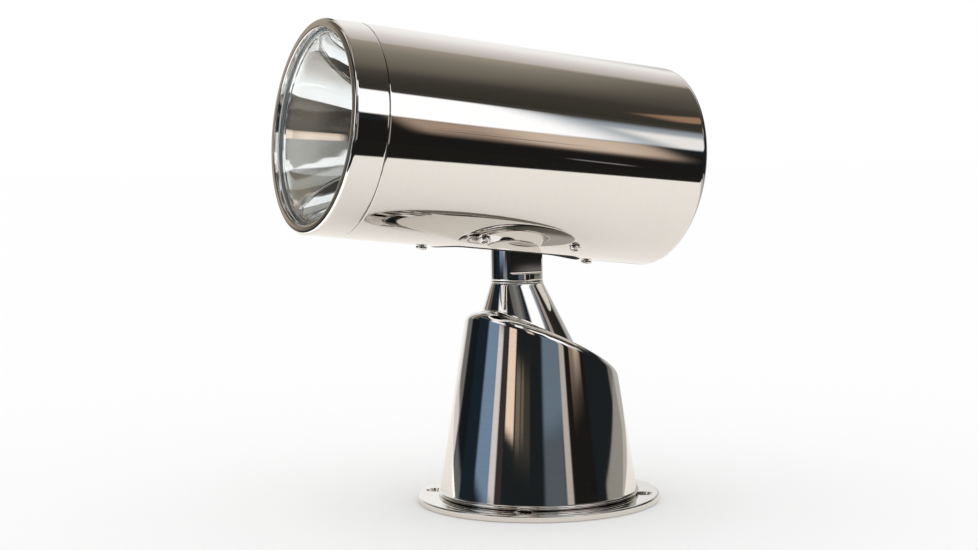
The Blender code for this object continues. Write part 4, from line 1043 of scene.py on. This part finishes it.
    def washer(self) -> None:
        """The polished thrust washer between the neck and the post's collar."""
        low = self.neck_top + self.gap
        high = low + self.washer_thickness
        inner, outer, edge = self.washer_bore, self.washer_radius, self.bore_edge
        outline = [(inner, low), (outer - edge, low)] + arc((outer - edge, low + edge), edge, -90, 0, 4)[1:]
        outline += arc((outer - edge, high - edge), edge, 0, 90, 4) + [(inner, high)]
        made = self.bench.spun("neck_washer", outline, Axis.Z, 128)
        self.bench.placed(made, self.rig.neck())
        self.deliver(made, "base polish", Slot.POLISHED, "thrust_washer")


@dataclass
class PanningPost(Assembly):
    """The bar-turned post with its collar, two milled flats and crowned eye."""

    body: ClassVar[str] = "post"
    radius: float = 0.019
    shaft: float = 0.012
    shaft_edge: float = 0.001
    groove_depth: float = 0.001
    bore: float = 0.006
    flat: float = 0.014
    flat_support: float = 0.0005
    collar_low: float = 0.1641
    collar_edge: float = 0.0005
    shoulder: float = 0.169
    mill: float = 0.0014
    bush_radius: float = 0.00775
    exit_drop: float = 0.031
    exit_radius: float = 0.005
    thread_radius: float = 0.0018
    thread_depth: float = 0.0048
    thread_reach: float = 0.0054
    thread_bearings: tuple[float, ...] = (-35, -145)
    gap: float = 0.0003

    def home(self) -> Matrix:
        """The frame of the turned post."""
        return self.rig.post()

    def build(self) -> None:
        """Turns the bar, crowns its head, mills its flats, drills its bores and hands it over."""
        made = self.turned()
        self.crown(made)
        self.mill_flats(made)
        self.drill_bores(made)
        self.deliver(made, "post polish", Slot.POLISHED, "post")

    def turned(self) -> Piece:
        """Turns the bar with its collar and its clip groove.

        Returns:
            The bar, longer than the post.
        """
        edge, shaft, top = self.collar_edge, self.shaft, self.rig.pivot_height + 2 * self.radius
        low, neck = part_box("post")[0].z, shaft - self.groove_depth
        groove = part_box("shaft_clip")
        bottom, ceiling = groove[0].z - self.gap, groove[1].z + self.gap
        outline = [(0, low), (shaft - self.shaft_edge, low), (shaft, low + self.shaft_edge)]
        outline += [(shaft, bottom), (neck, bottom), (neck, ceiling), (shaft, ceiling)]
        outline += [(shaft, self.collar_low), (self.radius - edge, self.collar_low)]
        outline += arc((self.radius - edge, self.collar_low + edge), edge, -90, 0, 4)[1:]
        outline += [(self.radius, top), (0, top)]
        return self.bench.spun("post_stem", eased(outline), Axis.Z, 160)

    def crown(self, made: Piece) -> None:
        """Rounds the head across the tilt axle.

        Args:
            made: The bar.
        """
        wide, eye = 2 * self.radius, self.radius + self.gap
        outline = [(-eye, 0.0)] + arc((0, self.rig.pivot_height), eye, 180, 0, 49) + [(eye, 0.0)]
        self.bench.cut(made, self.bench.pushed("crown_tool", outline, Axis.X, -wide, wide), "INTERSECT")

    def mill_flats(self, made: Piece) -> None:
        """Mills a flat with a rounded foot on both sides.

        Args:
            made: The bar.
        """
        wide, foot = 2 * self.radius, self.flat + self.mill
        top = self.rig.pivot_height + wide
        corner = arc((foot, self.shoulder + self.mill), self.mill, 270, 180, 6)[1:]
        outline = [(foot, self.shoulder)] + corner + [(self.flat, top), (wide, top), (wide, self.shoulder)]
        for side in (-1, 1):
            step = eased([(side * x, z) for x, z in outline], self.flat_support)
            self.bench.cut(made, self.bench.pushed("flat_tool", step, Axis.Y, -wide, wide))

    def drill_bores(self, made: Piece) -> None:
        """Drills the axle's eye, the wire bore with its exit and the sector's two threads.

        Args:
            made: The bar.
        """
        wide, pivot = 2 * self.radius, self.rig.pivot_height
        exit_height, reach = pivot - self.exit_drop, self.bush_radius + self.thread_reach
        self.drill(made, self.bush_radius + self.gap, Axis.X, -wide, wide, (0, 0, pivot))
        self.drill(made, self.bore, Axis.Z, 0, exit_height + self.exit_radius / 2, (0, 0, 0))
        self.drill(made, self.exit_radius, Axis.Y, -self.bore / 2, wide, (0, 0, exit_height))
        for bearing in self.thread_bearings:
            turn = math.radians(bearing)
            spot = (self.flat, reach * math.cos(turn), pivot + reach * math.sin(turn))
            self.drill(made, self.thread_radius, Axis.X, -self.thread_depth, wide, spot)

    def drill(self, made: Piece, radius: float, axis: Axis, low: float, high: float, spot: Colour) -> None:
        """Drills a round hole along an axis through a spot."""
        outline = [(0, low), (radius, low), (radius, high), (0, high)]
        self.bench.drilled(made, outline, axis, 40, [Matrix.Translation(spot)])


class InBarrel(Assembly):
    """A sub-assembly that the tilted barrel carries."""

    body: ClassVar[str] = "barrel"

    def home(self) -> Matrix:
        """The frame of the tilted barrel."""
        return self.rig.barrel()


@dataclass
class Barrel(InBarrel):
    """The slotted can, the bezel, the slot's edging and its screws."""

    radius: float = 0.07496
    wall: float = 0.0015
    edge: float = 0.0004
    front: float = 0.1607
    rear: float = 0.12025
    corner: float = 0.006
    stretches: int = 46
    lead: float = 0.0012
    tail: float = 0.0008
    support: float = 0.001
    seam: float = 0.1361
    seam_shift: float = 0.00015
    spigot: float = 0.01
    spigot_edge: float = 0.0005
    seam_shadow_band: float = 0.0002
    bezel_wall: float = 0.004
    bezel_round: float = 0.0025
    lip_radius: float = 0.0681
    lip_round: float = 0.001
    lip_thickness: float = 0.0029
    slot_length: float = 0.06
    slot_width: float = 0.017
    seal: float = 0.0014
    seal_depth: float = 0.0026
    screw_radius: float = 0.002
    screw_reach: float = 0.001
    screw_head: float = 0.004
    screw_edge: float = 0.0002
    screw_dome: float = 0.0026
    screw_round: float = 0.0014
    recess_half: float = 0.0022
    recess_wide: float = 0.00045
    recess_turns: tuple[float, ...] = (20, 110)
    tip_offset: float = 0.0687
    side_offset: float = 0.0369
    side_bearing: float = 27.9
    gap: float = 0.0003

    def build(self) -> None:
        """Makes the barrel's pieces."""
        self.can()
        self.bezel()
        self.edging()
        self.screws()

    def oval(self, length: float, width: float, count: int = 24) -> Outline:
        """A slot with round ends, long along the second coordinate."""
        straight = length - width
        return arc((0, straight), width, 0, 180, count) + arc((0, -straight), width, 180, 360, count)

    def screw_frames(self) -> list[Matrix]:
        """Places the underside screws.

        Returns:
            A frame at the pivot's height for each, its axis pointing at the wall.
        """
        places = [(-self.tip_offset, 0.0), (self.tip_offset, 0.0)]
        places += [(end * self.side_offset, turn * self.side_bearing) for turn in (1, -1) for end in (-1, 1)]
        return [
            Matrix.Translation((0, y, 0)) @ Matrix.Rotation(math.radians(-bearing), 4, "Y")
            for y, bearing in places
        ]

    def can(self) -> None:
        """Spins the can, with close rings where the slot is cut, and cuts the slot and the screw holes."""
        radius, edge, corner, count = self.radius, self.edge, self.corner, self.stretches
        bore, start, last = radius - self.wall, -self.seam + self.gap + self.seam_shift, self.rear - corner
        span = last - start - self.lead - self.tail
        outline = [(bore, start), (radius - edge, start)]
        outline += arc((radius - edge, start + edge), edge, -90, 0, 4)[1:]
        outline += [(radius, start + self.lead + span * k / count) for k in range(count + 1)]
        outline += arc((radius - corner, last), corner, 0, 90, 13)
        outline += [(radius - corner - self.support, self.rear), (0, self.rear), (0, self.rear - self.wall)]
        outline += arc((radius - corner, last), corner - self.wall, 90, 0, 7)
        outline += [(bore, last - (last - start) * k / count) for k in range(1, count)]
        made = self.bench.spun("barrel_shell", outline, Axis.Y, 256)
        slot = self.oval(self.slot_length, self.slot_width)
        self.bench.cut(made, self.bench.pushed("slot_tool", slot, Axis.Z, -1.2 * radius, -0.6 * radius))
        hole, low, high = self.screw_radius + self.gap, -1.1 * radius, -0.9 * radius
        outline = [(0, low), (hole, low), (hole, high), (0, high)]
        self.bench.drilled(made, outline, Axis.Z, 32, self.screw_frames())
        self.deliver(made, "barrel polish", Slot.POLISHED, "barrel_can")

    def bezel(self) -> None:
        """The front ring with a rounded bead, a lip over the glass and a spigot into the can."""
        bore, spigot = self.radius - self.bezel_wall, self.radius - self.wall - self.gap
        seat, tail = self.front - self.lip_thickness, self.seam - self.spigot
        edge, bead, lip = self.edge, self.bezel_round, self.lip_round
        outline = arc((self.radius - edge, self.seam + edge), edge, -90, 0, 4)
        outline += arc((self.radius - bead, self.front - bead), bead, 0, 90, 12)
        outline += arc((self.lip_radius + lip, self.front - lip), lip, 90, 180, 6)
        outline += [(self.lip_radius, seat), (bore, seat), (bore, tail), (spigot - self.spigot_edge, tail)]
        outline += [(spigot, tail + self.spigot_edge), (spigot, self.seam)]
        flipped = [(radius, -ahead) for radius, ahead in eased(outline)]
        made = self.bench.spun("bezel_band", flipped, Axis.Y, 256)
        self.deliver(made, "barrel polish", Slot.POLISHED, "bezel_ring")
        # painted shade: the spigot faces inside the seam get a near-black finish so the gap between bezel and
        # can looks shaded
        self.facing(made, "seam shadow", spigot - self.seam_shadow_band, spigot + self.seam_shadow_band)

    def edging(self) -> None:
        """Rubber edging that grips the slot's edge, swept round the oval."""
        half = self.seal / 2
        margin = self.gap + half
        path = self.oval(self.slot_length - margin, self.slot_width - margin, 28)
        outer, inner = self.radius + self.seal / 3, self.radius - self.wall - self.seal_depth
        section = arc((0, outer - half), half, 0, 180, 7) + arc((0, inner + half), half, 180, 360, 7)
        rings = []
        for index, (x, y) in enumerate(path):
            before, after = path[index - 1], path[(index + 1) % len(path)]
            along = Vector((after[0] - before[0], after[1] - before[1], 0)).normalized()
            out = Vector((along.y, -along.x, 0))
            down = Vector((x, 0, -math.sqrt(self.radius ** 2 - x ** 2))).normalized()
            centre = Vector((0, y, 0))
            rings.append([tuple(centre + down * depth + out * across) for across, depth in section])
        made = self.bench.skinned("slot_edging", rings)
        self.deliver(made, "rubber", Slot.RUBBER, "slot_seal", smooth=50)

    def screws(self) -> None:
        """Six pan-head screws with a cross recess, modelled once."""
        seat, tip = -self.radius - self.gap, -self.radius + self.wall + self.gap + self.screw_reach
        head, dome, bend, edge = self.screw_head, self.screw_dome, self.screw_round, self.screw_edge
        outline = [(0, tip), (self.screw_radius, tip), (self.screw_radius, seat), (head - edge, seat)]
        outline += [(head, seat - edge), (head, seat - 0.45 * dome)]
        outline += arc((head - bend, seat - dome + bend), bend, 0, -80, 7)
        outline += [(head * 0.4, seat - dome), (0, seat - dome)]
        made = self.bench.spun("slot_screw", outline, Axis.Z, 48)
        low, deep = seat - 2 * dome, seat - 0.35 * dome
        half, wide = self.recess_half, self.recess_wide
        bar = [(-half, -wide), (half, -wide), (half, wide), (-half, wide)]
        for turn in self.recess_turns:
            tool = self.bench.pushed("recess_tool", bar, Axis.Z, low, deep)
            self.bench.placed(tool, Matrix.Rotation(math.radians(turn), 4, "Z"))
            self.bench.cut(made, tool)
        for number, place in enumerate(self.screw_frames(), start=1):
            piece = self.bench.copied(made, f"pan_screw_{number}", place)
            self.deliver(piece, "barrel polish", Slot.POLISHED, f"slot_screw_{number}")
        bpy.data.objects.remove(made)


@dataclass
class Optics(InBarrel):
    """The front glass in its gasket, the parabolic reflector and the lamp."""

    front: float = 0.1608
    lip_thickness: float = 0.003
    lip_radius: float = 0.0681
    gasket_radius: float = 0.0707
    gasket_edge: float = 0.0002
    glass_radius: float = 0.0695
    glass_thickness: float = 0.004
    glass_edge: float = 0.0006
    glass_support: float = 0.0005
    web: float = 0.0009
    rim: float = 0.066
    depth: float = 0.08
    wall: float = 0.0008
    stations: int = 56
    bend: Span = (0.0004, 0.0012)
    bend_drop: float = 0.0001
    neck: float = 0.011
    neck_length: float = 0.004
    retainer: float = 0.004
    retainer_inset: float = 0.0006
    retainer_edge: float = 0.0003
    lamp_radius: float = 0.0055
    lamp_length: float = 0.022
    lamp_edge: float = 0.0004
    pinch_radius: float = 0.0007
    pinch_height: float = 0.0001
    holder_length: float = 0.011
    holder_flange: float = 0.0025
    holder_edge: float = 0.0005
    holder_bevel: float = 0.0006
    gap: float = 0.0003

    def __post_init__(self) -> None:
        """Stacks the optics from the front backwards."""
        self.gasket_front = self.front - self.lip_thickness - self.gap
        self.glass_front = self.gasket_front - self.web - self.gap
        self.glass_back = self.glass_front - self.glass_thickness
        self.bowl_front = self.glass_back - self.gap
        self.vertex = self.bowl_front - self.depth
        self.tail = self.vertex - self.neck_length

    def build(self) -> None:
        """Makes the optics."""
        self.lens()
        self.reflector()
        self.lamp()

    def forward(self, name: str, outline: Outline, sides: int = 192) -> Piece:
        """Spins an outline given as radius and distance ahead of the pivot."""
        return self.bench.spun(name, [(radius, -ahead) for radius, ahead in outline], Axis.Y, sides)

    def lens(self) -> None:
        """The gasket of angle section and the flat glass with polished edges."""
        inner, seat = self.lip_radius + self.gap, self.glass_radius + self.gap
        outer, edge = self.gasket_radius, self.gasket_edge
        back, step = self.glass_back, self.glass_front + self.gap
        ring = [(inner, step), (inner, self.gasket_front - edge), (inner + edge, self.gasket_front)]
        ring += [(outer, self.gasket_front), (outer, back), (seat, back), (seat, step)]
        made = self.forward("lens_seal", ring)
        self.deliver(made, "silicone", Slot.RUBBER, "lens_gasket")
        radius, front, edge = self.glass_radius, self.glass_front, self.glass_edge
        disc = [(0, back), (radius - edge, back), (radius, back + edge), (radius, front - edge)]
        disc += [(radius - edge, front), (0, front)]
        made = self.forward("front_glass", eased(disc, self.glass_support))
        self.deliver(made, "glass", Slot.GLASS, "lens_glass")
        self.facing(made, "ground glass", radius - edge / 2, radius + edge)

    def reflector(self) -> None:
        """The spun bowl with its rim and neck, and the ring that clamps it."""
        focus = self.rim ** 2 / (4 * self.depth)
        start, end = math.sqrt(self.neck), math.sqrt(self.rim)
        shares = [step / (self.stations - 1) for step in range(self.stations)]
        radii = [(start + (end - start) * share) ** 2 for share in shares]
        inside = [(radius, self.vertex + radius ** 2 / (4 * focus)) for radius in radii]
        outside = []
        for radius, ahead in inside:
            slope = radius / (2 * focus)
            size = math.hypot(1, slope)
            outside.append((radius + self.wall * slope / size, ahead - self.wall / size))
        front, back, outer = self.bowl_front, self.bowl_front - self.wall, self.gasket_radius
        profile = inside[:-1]
        profile += [(self.rim + self.bend[0], front - self.bend_drop), (self.rim + self.bend[1], front)]
        skin = [point for point in outside if point[1] < back]
        profile += [(outer, front), (outer, back), (skin[-1][0] + self.wall / 4, back)] + skin[-1:0:-1]
        neck = self.neck + self.wall
        profile += [(neck, inside[0][1] - self.wall), (neck, self.tail), (self.neck, self.tail)]
        made = self.forward("reflector_bowl", profile)
        self.deliver(made, "mirror", Slot.MIRROR, "reflector")
        self.facing(made, "silicone", self.rim + self.bend_drop, 2 * outer)
        low, high, edge = back - self.gap - self.retainer, back - self.gap, self.retainer_edge
        inner = self.rim + self.wall + self.retainer_inset
        ring = [(inner, low), (outer - edge, low), (outer, low + edge), (outer, high), (inner, high)]
        made = self.forward("bowl_clamp", ring)
        self.deliver(made, "turned aluminium", Slot.ALUMINIUM, "reflector_ring")

    def lamp(self) -> None:
        """The ceramic holder and the capsule lamp with its pinched tip."""
        seat, plug, pocket = self.tail - self.gap, self.neck - self.gap, self.lamp_radius + self.gap
        low, brim, edge = seat - self.holder_flange, plug + self.holder_flange, self.holder_edge
        front = seat + self.holder_length
        floor = front - self.holder_length / 2
        outline = [(0, low), (brim - edge, low), (brim, low + edge), (brim, seat), (plug, seat)]
        outline += [(plug, front - self.holder_bevel), (plug - self.holder_bevel, front)]
        outline += [(pocket, front), (pocket, floor), (0, floor)]
        made = self.forward("lamp_socket", outline, 64)
        self.deliver(made, "ceramic", Slot.CERAMIC, "lamp_holder")
        radius, low, edge = self.lamp_radius, floor + self.gap, self.lamp_edge
        tip = low + self.lamp_length
        bulb = [(0, low), (radius - edge, low), (radius, low + edge)]
        bulb += arc((0, tip - radius), radius, 0, 78, 12)
        bulb += [(self.pinch_radius, tip - self.pinch_height), (0, tip)]
        made = self.forward("lamp_capsule", bulb, 64)
        self.deliver(made, "bulb", Slot.BULB, "lamp_bulb")


@dataclass
class Works(Assembly):
    """The drives, bearings and chassis, whose CAD solids stay and get their finishes."""

    finishes: dict[str, tuple[str, ...]] = field(
        default_factory=lambda: {
            "bearing bronze": ("neck_bush", "lower_bush", "axle_bush_left", "axle_bush_right"),
            "gear brass": ("pan_gear", "tilt_sector"),
            "rubber": ("neck_seal",),
            "plastic": ("slot_shield",),
            "motor": ("pan_motor", "tilt_motor"),
            "turned aluminium": ("drive_plate",),
        }
    )

    def build(self) -> None:
        """Dresses every CAD node that no new piece stands for."""
        named = {node: finish for finish, nodes in self.finishes.items() for node in nodes}
        for name, node in sorted(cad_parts.items()):
            if not node.hide_render:
                self.wardrobe.dress(node, named.get(name, "bright steel"))
                log.info("%s keeps its CAD shape", name)


@dataclass(frozen=True)
class Card:
    """A soft-edged card on the studio's dome, bounded by bearing, height and turn round the barrel.

    Bearings and turns are in degrees, heights in metres. Turns count from straight overhead.
    """

    colour: Colour
    bearing: Span | None = None
    height: Span | None = None
    turn: Span | None = None
    soft: float = 1.5
    fade: float = 0.03
    blur: float = 1.5
    weight: float = 1.0


@dataclass
class Studio:
    """The table, the dome that polished metal mirrors, the plain light and the camera.

    The room was worked out from its mirror image, so the cards stand by bearing, height and turn.
    """

    rig: Rig
    bench: Bench
    dome_radius: float = 1.2
    dome_centre: float = 0.2
    table_edge: float = 0.467
    table_facing: float = math.radians(-30)
    edge_soft: float = 0.012
    table_size: float = 60.0
    table_drop: float = 0.0001
    table_colour: Colour = (0.955, 0.955, 0.955)
    mirrored_colour: Colour = (0.98, 0.945, 0.90)
    front_colour: Colour = (1.38, 1.40, 1.41)
    front_line: Span = (0.29, 0.35)
    far_colour: Colour = (0.50, 0.48, 0.44)
    far_line: Span = (0.50, 0.62)
    beyond_colour: Colour = (0.014, 0.0128, 0.0115)
    plain_light: Colour = (1.04, 1.04, 1.04)
    seen_light: Colour = (1.0, 1.0, 1.0)
    lens: float = 64.925
    sensor: float = 36.0
    nearest: float = 0.01
    eye: Colour = (1.03814, -0.78139, 0.25507)
    right: Colour = (0.58071, 0.81397, -0.01498)
    up: Colour = (-0.04635, 0.05144, 0.99760)
    back: Colour = (0.81279, -0.57863, 0.06760)
    room: Colour = (0.0145, 0.0177, 0.02)
    sky_height: Span = (1.0, 1.12)
    side_sky_height: Span = (0.62, 0.84)
    side_sky_bearing: tuple[float, float, float] = (14, 156, 8)
    overhead: tuple[tuple[float, Colour], ...] = (
        (-80, (1.22, 1.22, 1.22)),
        (-42, (0.98, 0.96, 0.95)),
        (-28, (0.78, 0.74, 0.73)),
        (-15.5, (0.58, 0.54, 0.51)),
        (-13.5, (0.40, 0.355, 0.30)),
        (0, (0.255, 0.23, 0.19)),
        (20, (0.150, 0.136, 0.110)),
        (28, (0.085, 0.078, 0.066)),
        (46, (0.055, 0.050, 0.042)),
    )
    cards: tuple[Card, ...] = (
        Card((0.030, 0.027, 0.020), height=(0.5, 1.17), turn=(-11.5, 46), fade=0.09, weight=0.55),
        Card((1.0, 0.99, 0.98), (128, 186), (-0.1, 0.9), soft=14, fade=0.15),
        Card((0.52, 0.51, 0.49), (96, 128), (-0.1, 0.42), soft=6, fade=0.1),
        Card((0.21, 0.20, 0.17), (84, 94), (-0.1, 0.40), soft=4, fade=0.1),
        Card((0.33, 0.32, 0.29), (47, 100), (-0.1, 0.085), soft=3, fade=0.008),
        Card((0.19, 0.18, 0.175), (-175, -159), (-0.1, 0.30), soft=3),
        Card((0.42, 0.37, 0.30), (-168, -157), (0.24, 1.3), soft=1.5, fade=0.015),
        Card((0.13, 0.11, 0.085), (-157, -144), (0.27, 1.3), soft=1.5),
        Card((0.009, 0.013, 0.016), (-157, -138), (-0.1, 0.26), soft=3, fade=0.02),
        Card((0.155, 0.16, 0.15), (-158, -139), (-0.1, 0.045), soft=2, fade=0.015),
        Card((0.78, 0.73, 0.72), (-181, -162), (-0.1, 0.06), soft=2, fade=0.015),
        Card((0.012, 0.020, 0.030), (-138, -118), (-0.1, 1.0), soft=3),
        Card((0.19, 0.175, 0.16), (-146, -115), (0.62, 0.75), soft=3),
        Card((0.20, 0.295, 0.43), (-116.5, -97), (0.105, 0.40), soft=2.5, fade=0.02),
        Card((1.2, 1.22, 1.25), (-112, -74), (-0.1, 0.07), soft=2, fade=0.012),
        Card((1.15, 1.15, 1.18), (-113, -87), (0.40, 0.72), soft=4, fade=0.04),
        Card((0.24, 0.27, 0.32), (-97, -80), (0.07, 0.105), soft=2, fade=0.018),
        Card((0.78, 0.73, 0.73), (-97, -88.5), (0.12, 0.35), soft=1.5, fade=0.02),
        Card((0.045, 0.038, 0.037), (-87.5, -80.5), (0.12, 0.40), soft=1.2),
        Card((0.99, 0.78, 0.62), (-79, -67.5), (0.236, 0.40), soft=1, fade=0.012),
        Card((0.055, 0.050, 0.042), (-67, -47), (0.22, 0.33), soft=1.5, fade=0.03),
        Card((0.19, 0.16, 0.125), (-65.5, -60), (0.235, 0.33), soft=0.8, fade=0.02),
        Card((0.16, 0.135, 0.105), (-58.5, -55), (0.245, 0.33), soft=0.8, fade=0.02),
        Card((0.16, 0.16, 0.155), (-72, -44), (0.74, 0.82), soft=3, fade=0.015),
        Card((0.13, 0.125, 0.14), (-40, -24), (0.79, 0.84), soft=3, fade=0.012),
        Card((0.105, 0.125, 0.145), (-29.5, -5), (-0.1, 0.25), soft=3, fade=0.03),
        Card((0.155, 0.21, 0.27), (-29.5, -4), (0.25, 0.55), soft=3, fade=0.03),
        Card((0.56, 0.50, 0.46), (-4.5, 3), (-0.1, 0.60), soft=1.3),
        Card((0.013, 0.0118, 0.011), (5, 34), (-0.1, 0.42), soft=1.5),
        Card((0.98, 0.76, 0.60), (-50, -40), (0.41, 0.6), soft=2, fade=0.02),
        Card((0.22, 0.22, 0.205), (-52, -37), (0.6, 1.2), soft=2),
        Card((0.50, 0.50, 0.47), (-88, -58), (1.17, 1.45), soft=3),
        Card((1.25, 1.25, 1.25), (-66, -52), (0.82, 1.15), soft=2),
        Card((1.25, 1.25, 1.25), (-56, -46.2), (1.088, 1.16), soft=0.6, fade=0.008),
        Card((1.25, 1.25, 1.25), (-54, -48), (0.99, 1.12), soft=1, fade=0.02),
        Card((0.50, 0.60, 0.70), (-14, 7), (0.72, 0.86), soft=4, fade=0.015),
        Card((1.25, 1.25, 1.25), (-36, 4), (0.875, 1.1), soft=3, fade=0.015),
        Card((0.43, 0.32, 0.25), (11, 28), (0.30, 0.56), soft=1.2, fade=0.09),
        Card((0.72, 0.58, 0.47), (18, 27), (0.30, 0.52), soft=3, fade=0.05),
        Card((0.10, 0.075, 0.055), (12, 22), (0.352, 0.366), soft=2.5, fade=0.008, weight=0.7),
        Card((0.14, 0.10, 0.08), (12, 18), (0.395, 0.402), soft=2, fade=0.006, weight=0.6),
        Card((0.24, 0.225, 0.225), (20.2, 23.8), (0.078, 0.0975), soft=0.8, fade=0.007),
        Card((0.36, 0.41, 0.46), (22, 46), (0.5, 1.2), (51, 72), soft=4, fade=0.02, blur=3.0),
        Card((1.3, 1.32, 1.36), (-12, 27), (0.52, 1.3), (49.5, 73.5), soft=4, fade=0.02, blur=1.0),
        Card((1.0, 1.0, 1.0), (30, 39), (0.50, 0.78), (57, 78), soft=1.5, fade=0.03, blur=3.0),
        Card((0.36, 0.22, 0.14), (43, 51), (0.90, 0.97), soft=2, fade=0.015),
        Card((0.40, 0.36, 0.35), (43, 54), (0.66, 0.80), soft=2, fade=0.03),
    )

    def build(self) -> None:
        """Sets up the studio."""
        self.table()
        self.dome()
        self.world()
        self.camera()

    def polar(self, graph: Graph, where: Wire) -> tuple[Wire, Wire]:
        """Bearing in degrees and height in metres of a point on the dome."""
        bearing = graph.maths("ARCTAN2", graph.part(where, 1), graph.part(where, 0)) * (180 / math.pi)
        return bearing, graph.part(where, 2)

    def window(self, graph: Graph, value: Wire, low: float, high: float, soft: float) -> Wire:
        """Is 1 between two values and falls off softly outside."""
        rise = graph.step(value, low - soft, low + soft)
        return rise * (1 - graph.step(value, high - soft, high + soft))

    def cards_colour(self, graph: Graph) -> Wire:
        """Lays the overhead strips and the cards over the dark room.

        Args:
            graph: The dome's graph.

        Returns:
            The dome's colour.
        """
        bearing, height = self.polar(graph, graph.place())
        seen = graph.place(self.rig.barrel())
        turn = graph.maths("ARCTAN2", graph.part(seen, 0), graph.part(seen, 2)) * (180 / math.pi)
        low, high = self.overhead[0][0], self.overhead[-1][0]
        stops = [((value - low) / (high - low), colour) for value, colour in self.overhead]
        ramp = graph.node("ShaderNodeValToRGB", {"stops": stops}, {"Fac": (turn - low) / (high - low)})
        beside = self.window(graph, bearing, *self.side_sky_bearing)
        beside = graph.step(height, *self.side_sky_height) * beside
        sky = graph.maths("MAXIMUM", graph.step(height, *self.sky_height), beside)
        colour = graph.mixed(sky, self.room, ramp)
        for card in self.cards:
            mask = card.weight
            if card.bearing:
                middle, half = sum(card.bearing) / 2, (card.bearing[1] - card.bearing[0]) / 2
                offset = graph.maths("WRAP", bearing - middle, 180.0, -180.0)
                mask = mask * self.window(graph, offset, -half, half, card.soft)
            if card.height:
                mask = mask * self.window(graph, height, *card.height, card.fade)
            if card.turn:
                mask = mask * self.window(graph, turn, *card.turn, card.blur)
            colour = graph.mixed(mask, colour, card.colour)
        return colour

    def dome(self) -> None:
        """The dome of cards and strips, which only mirrored rays meet."""
        bpy.ops.object.select_all(action="DESELECT")
        bpy.ops.mesh.primitive_uv_sphere_add(
            segments=96, ring_count=48, radius=self.dome_radius, location=(0, 0, self.dome_centre)
        )
        dome = bpy.context.object
        dome.name = "studio_dome"
        bpy.ops.object.transform_apply(location=True, rotation=True, scale=True)
        self.bench.edit(dome)
        bpy.ops.mesh.bisect(plane_co=(0, 0, -0.002), plane_no=(0, 0, 1), clear_inner=True)
        bpy.ops.object.mode_set(mode="OBJECT")
        bpy.ops.object.shade_smooth()
        made, graph = fresh("studio_cards")
        light = graph.node("ShaderNodeEmission", None, {"Color": self.cards_colour(graph), "Strength": 1.0})
        graph.node("ShaderNodeOutputMaterial", None, {"Surface": light})
        made.cycles.emission_sampling = "NONE"
        dome.data.materials.append(made)
        dome.visible_camera = False
        dome.visible_diffuse = False
        dome.visible_shadow = False

    def table_tone(self, graph: Graph) -> Wire:
        """Colours the table: plain to the camera, brighter and ending in the dark to mirrored rays.

        Args:
            graph: The table's graph.

        Returns:
            The table's colour.
        """
        where = graph.place()
        facing = (math.cos(self.table_facing), math.sin(self.table_facing), 0.0)
        sockets = {0: where, 1: facing}
        reach = graph.node("ShaderNodeVectorMath", {"operation": "DOT_PRODUCT"}, sockets, "Value")
        edge = graph.step(reach, self.table_edge - self.edge_soft, self.table_edge + self.edge_soft)
        across = graph.part(where, 1)
        near = graph.mixed(graph.step(0 - across, *self.front_line), self.mirrored_colour, self.front_colour)
        whole = graph.mixed(graph.step(across, *self.far_line), near, self.far_colour)
        mirrored = graph.mixed(edge, whole, self.beyond_colour)
        glossy = graph.node("ShaderNodeLightPath", output="Is Glossy Ray")
        return graph.mixed(glossy, self.table_colour, mirrored)

    def table(self) -> None:
        """The white table, which mirrored rays see end where the dark room starts."""
        bpy.ops.object.select_all(action="DESELECT")
        bpy.ops.mesh.primitive_plane_add(size=self.table_size, location=(0, 0, -self.table_drop))
        table = bpy.context.object
        table.name = "studio_table"
        bpy.ops.object.transform_apply(location=True, rotation=True, scale=True)
        made, graph = fresh("white_table")
        surface = graph.node("ShaderNodeBsdfDiffuse", None, {"Color": self.table_tone(graph)})
        graph.node("ShaderNodeOutputMaterial", None, {"Surface": surface})
        table.data.materials.append(made)

    def world(self) -> None:
        """Plain even light, white to the camera, to mirrors and to glass."""
        world = bpy.data.worlds.new("plain_studio")
        world.use_nodes = True
        bpy.context.scene.world = world
        graph = Graph(world.node_tree)
        names = ("Is Camera Ray", "Is Glossy Ray", "Is Transmission Ray")
        camera, glossy, through = (graph.node("ShaderNodeLightPath", output=name) for name in names)
        seen = graph.maths("MINIMUM", camera + glossy + through, 1.0)
        colour = graph.mixed(seen, self.plain_light, self.seen_light)
        light = graph.node("ShaderNodeBackground", None, {"Color": colour, "Strength": 1.0})
        graph.node("ShaderNodeOutputWorld", None, {"Surface": light})

    def camera(self) -> None:
        """The camera at the photograph's place."""
        data = bpy.data.cameras.new("studio_camera")
        data.lens = self.lens
        data.sensor_width = self.sensor
        data.sensor_fit = "HORIZONTAL"
        data.clip_start = self.nearest
        camera = bpy.data.objects.new("studio_camera", data)
        bpy.context.scene.collection.objects.link(camera)
        turn = Matrix((self.right, self.up, self.back)).transposed().to_4x4()
        camera.matrix_world = Matrix.Translation(self.eye) @ turn
        bpy.context.scene.camera = camera


def main() -> None:
    """Builds the sub-assemblies in order and sets up the studio."""
    logging.basicConfig(level=logging.INFO, format="%(message)s")
    rig = Rig()
    bench = Bench()
    wardrobe = Wardrobe(rig)
    for kind in (MountingFoot, SlantedCowl, PanningPost, Barrel, Optics, Works):
        kind(rig, bench, wardrobe).build()
        log.info("%s is done", kind.__name__)
    Studio(rig, bench).build()
    bpy.context.scene.view_settings.view_transform = "Standard"


if __name__ == "__main__":
    main()
